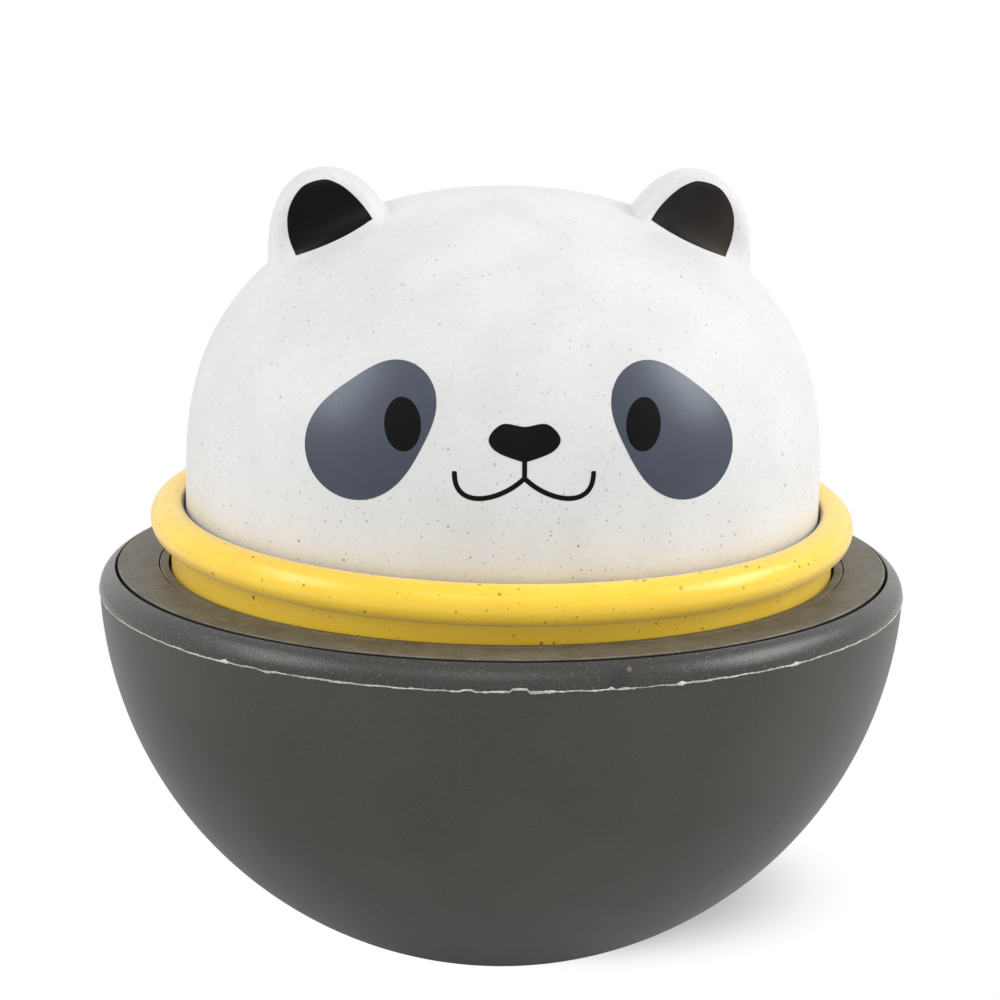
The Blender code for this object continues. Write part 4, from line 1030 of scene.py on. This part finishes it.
def build_head(material):
    """Outer skin: straight side, then places at equal steps of two angles from a middle point,
    closer together near the ears. Inner skin: the dome's section set in by the wall."""
    turn = np.radians(spaced(HEAD_TURNS))[:-1]
    tilt = np.radians(spaced(HEAD_TILTS))
    middle = np.array([0.0, 0.0, DOME_BASE])
    ray = swung(np.stack([np.sin(tilt), np.cos(tilt)], axis=-1), turn)
    outer = crossing(middle + 0 * ray, ray, 25 * MM, 60 * MM)
    outer[-1] = outer[-1].mean(axis=0)
    foot = [
        (HEAD_RADIUS - 0.9 * MM, HEAD_RIM),
        (HEAD_RADIUS - HEAD_EDGE, HEAD_RIM),
        (HEAD_RADIUS, HEAD_RIM + HEAD_EDGE),
    ]
    heights = np.linspace(HEAD_RIM + MM, DOME_BASE, 10)[:-1]
    side = np.vstack([foot, np.stack([np.full_like(heights, HEAD_RADIUS), heights], axis=-1)])
    inside = dome_section(HEAD_WALL, HEAD_RIM, 30)[::-1]
    dome = [skin(np.vstack([swung(inside, turn), swung(side, turn), outer]))]
    piece("head_dome", dome, material, "head", ["head_shell"], leaning=True)
    bore_end = HEAD_RIM + HEAD_SCREW_DEPTH
    boss_end = HEAD_RIM + HEAD_BOSS_HEIGHT
    boss = eased(
        [
            (0, bore_end, 0),
            (BOSS_BORE, bore_end, 0),
            (BOSS_BORE, HEAD_RIM, 0.15 * MM),
            (HEAD_BOSS_RADIUS, HEAD_RIM, 0.2 * MM),
            (HEAD_BOSS_RADIUS, boss_end, 0.4 * MM),
            (0, boss_end, 0),
        ],
        closed=False,
    )
    bosses = [turned(boss, BOSS_ROUND, at) for at in places(HEAD_BOSS_CIRCLE, HEAD_BOSS_ANGLES)]
    piece("head_bosses", bosses, material, "head", crease=40, leaning=True)


def printed(name, skins, material, node):
    """A print on the head, in place of its node."""
    piece(name, skins, material, "head", [node], crease=50, leaning=True)


def build_face(grey, black, painted_shine):
    """Patches, oval eyes and ear fronts on both sides, then the nose, the line under it and the
    smile, a cubic bend to each side: (1-t)^3 a + 3t(1-t)^2 b + 3t^2(1-t) c + t^3 d."""
    patch, patch_middle = patch_outline()
    turn = np.linspace(0, 2 * math.pi, EYE_ROUND, endpoint=False)
    oval = np.stack([EYE_HALF[0] * np.cos(turn), EYE_HALF[1] * np.sin(turn)], axis=-1)
    inlay = inlay_outline(np.array(INLAY_TOP) * MM, np.array(INLAY_BOW) * MM)
    inlay_middle = np.array(INLAY_MIDDLE) * MM
    for side, name, ear_ink in ((-1, "left", black), (1, "right", painted_shine)):
        facing = np.array((side, 1))
        skins = [film(patch * facing, patch_middle * facing)]
        printed(f"patch_{name}", skins, grey, f"eye_patch_{name}")
        centre = np.array(EYE_CENTRE) * facing
        skins = [film(centre + oval, centre, 2 * PRINT_PROUD)]
        printed(f"pupil_{name}", skins, black, f"eye_{name}")
        skins = [film(inlay * facing, inlay_middle * facing, dome_only=False, inward=20)]
        printed(f"inlay_{name}", skins, ear_ink, f"ear_inlay_{name}")
    right = np.array(NOSE_SIDE) * MM
    left = right[::-1] * (-1, 1)
    nose = through(np.vstack([np.array(NOSE_TOP) * MM, right, left]))
    skins = [film(nose, np.array(NOSE_MIDDLE) * MM, 1.3 * PRINT_PROUD)]
    half = LINE_WIDTH / 2
    bends = np.array(SMILE_BENDS) * MM
    heights = np.linspace(LIP_TOP * MM, bends[0, 1] - half, 30)
    skins.append(ribbon(np.stack([0 * heights, heights], axis=-1), half, PRINT_PROUD))
    t = np.linspace(0, 1, 90)[:, None]
    shares = ((1 - t) ** 3, 3 * t * (1 - t) ** 2, 3 * t**2 * (1 - t), t**3)
    lip = sum(share * bend for share, bend in zip(shares, bends))
    for side, lift in ((-1, 0.9), (1, 0.8)):
        skins.append(ribbon(lip * (side, 1), half, lift * PRINT_PROUD))
    printed("nose_and_smile", skins, black, "nose_and_mouth")


def dress_works():
    """Materials for the pieces inside, which keep their solids."""
    plastic = moulded_plastic()
    iron = cast_iron()
    steel = bright_metal("screw steel", paint(196, 196, 198), paint(176, 176, 180), 0.32, (1, 1, 0.2))
    chime = bright_metal("chime rod metal", paint(214, 215, 217), paint(200, 201, 204), 0.2, (0.2, 0.2, 3))
    looks = {"ballast_weight": iron, "hanger_pin": steel, "striker_pin": steel}
    for name in ("chime_frame", "swing_link", "striker_stem", "striker_ball", "retainer_ring"):
        looks[name] = plastic
    for index in (1, 2, 3):
        looks[f"ballast_screw_{index}"] = looks[f"head_screw_{index}"] = steel
    for index in (1, 2, 3, 4):
        looks[f"chime_rod_{index}"] = chime
    for name, material in looks.items():
        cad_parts[name].data.materials.clear()
        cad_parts[name].data.materials.append(material)


# Studio


def build_floor():
    """Pale floor: plain matt where it takes the shadow behind the toy, and plain white elsewhere."""
    reach = 6.0
    mesh = bpy.data.meshes.new("floor")
    corners = [(-reach, -reach, 0), (reach, -reach, 0), (reach, reach, 0), (-reach, reach, 0)]
    mesh.from_pydata(corners, [], [(0, 1, 2, 3)])
    floor = bpy.data.objects.new("floor", mesh)
    bpy.context.scene.collection.objects.link(floor)
    f = Finish("pale floor", Roughness=0.9, Base_Color=(0.9, 0.9, 0.9, 1))
    f.feed(Specular_IOR_Level=0.0)
    glow = f.add("ShaderNodeEmission", {}, {"Color": WHITE, "Strength": 1.0})
    shaded = f.add("ShaderNodeBsdfDiffuse", {}, {"Color": (SHADOW_TONE, SHADOW_TONE, SHADOW_TONE, 1)})
    across, back = f.x - SHADOW_CENTRE[0], (f.y - SHADOW_CENTRE[1]) * SHADOW_SQUASH
    distance = (across * across + back * back) ** 0.5
    far = distance.between(SHADOW_INNER, SHADOW_OUTER)
    near = f.add("ShaderNodeMixShader", {}, {0: far, 1: shaded.outputs[0], 2: glow.outputs[0]})
    last = f.add("ShaderNodeMixShader", {}, {0: f.seen(), 1: f.shader.outputs[0], 2: near.outputs[0]})
    f.put(f.tree.nodes["Material Output"].inputs["Surface"], last.outputs[0])
    mesh.materials.append(f.material)


def build_world():
    """White surroundings, as the camera, glass and gloss see them. Matt surfaces get less light."""
    world = bpy.data.worlds.new("studio")
    bpy.context.scene.world = world
    world.use_nodes = True
    nodes = Nodes(world.node_tree)
    inputs = {"Value": nodes.seen("Is Glossy Ray"), "To Min": WORLD_LEVEL, "To Max": 1.0}
    level = nodes.add("ShaderNodeMapRange", {}, inputs).outputs[0]
    sky = nodes.tree.nodes["Background"]
    nodes.put(sky.inputs["Color"], WHITE)
    nodes.put(sky.inputs["Strength"], level)


def soft_light(name, azimuth, elevation, distance, width, height, level):
    """Square lamp aimed at the toy. Azimuth 0 is before the face and 90 to its right as seen.
    Level is what it adds to a white surface that faces it, so its power is pi^2 level d^2."""
    lamp = bpy.data.lights.new(name, "AREA")
    lamp.shape = "RECTANGLE"
    lamp.size, lamp.size_y = width, height
    lamp.energy = math.pi**2 * level * distance**2
    a, e = math.radians(azimuth), math.radians(elevation)
    away = Vector((math.sin(a) * math.cos(e), -math.cos(a) * math.cos(e), math.sin(e)))
    item = bpy.data.objects.new(name, lamp)
    item.location = Vector((0, 0, LAMP_AIM)) + away * distance
    item.rotation_mode = "QUATERNION"
    item.rotation_quaternion = away.to_track_quat("Z", "Y")
    bpy.context.scene.collection.objects.link(item)


def build_camera():
    """Camera at its place round the toy, aimed so that the middle of the parting line's plane lands
    at its spot in a picture 1000 pixels wide, with the picture turned a little."""
    data = bpy.data.cameras.new("camera")
    data.sensor_width = 36.0
    data.lens = CAMERA_FOCUS * data.sensor_width / PICTURE
    data.clip_start, data.clip_end = 10 * MM, 20.0
    camera = bpy.data.objects.new("camera", data)
    bpy.context.scene.collection.objects.link(camera)
    a, e = math.radians(CAMERA_AZIMUTH), math.radians(CAMERA_ELEVATION)
    back = Vector((math.sin(a) * math.cos(e), -math.cos(a) * math.cos(e), math.sin(e)))
    place = Vector((0, 0, PARTING_HEIGHT)) + back * CAMERA_DISTANCE
    right = Vector((0, 0, 1)).cross(back).normalized()
    up = back.cross(right)
    roll = math.radians(CAMERA_ROLL)
    rolled_right = right * math.cos(roll) + up * math.sin(roll)
    rolled_up = up * math.cos(roll) - right * math.sin(roll)
    level = Matrix((rolled_right, rolled_up, back)).transposed()
    across, down = (spot - PICTURE / 2 for spot in CAMERA_TARGET)
    aim = Vector((across / CAMERA_FOCUS, -down / CAMERA_FOCUS, -1)).normalized()
    nod = Vector((0, 0, -1)).rotation_difference(aim).to_matrix()
    camera.matrix_world = Matrix.Translation(place) @ (level @ nod.transposed()).to_4x4()
    bpy.context.scene.camera = camera


def main():
    """Studio first, then each piece in its material."""
    bpy.context.scene.view_settings.view_transform = "Standard"
    build_camera()
    build_floor()
    build_world()
    for lamp in LAMPS:
        soft_light(*lamp)
    slate, slate_deep = paint(49, 55, 72), paint(44, 50, 67)
    grey = print_ink("grey print", slate_deep, slate, 0.33, 1.64, 0.009 * MM, (0.86, 0.93, 1, 1))
    black = print_ink("black print", paint(9, 8, 9), paint(13, 12, 13), 0.3, 1.2, 0.003 * MM)
    build_bowl(charcoal_bowl(), pale_flash())
    build_deck(charcoal_deck())
    build_collar(yellow_speckled())
    build_head(white_speckled())
    build_face(grey, black, ink_with_painted_sheen())
    dress_works()


main()
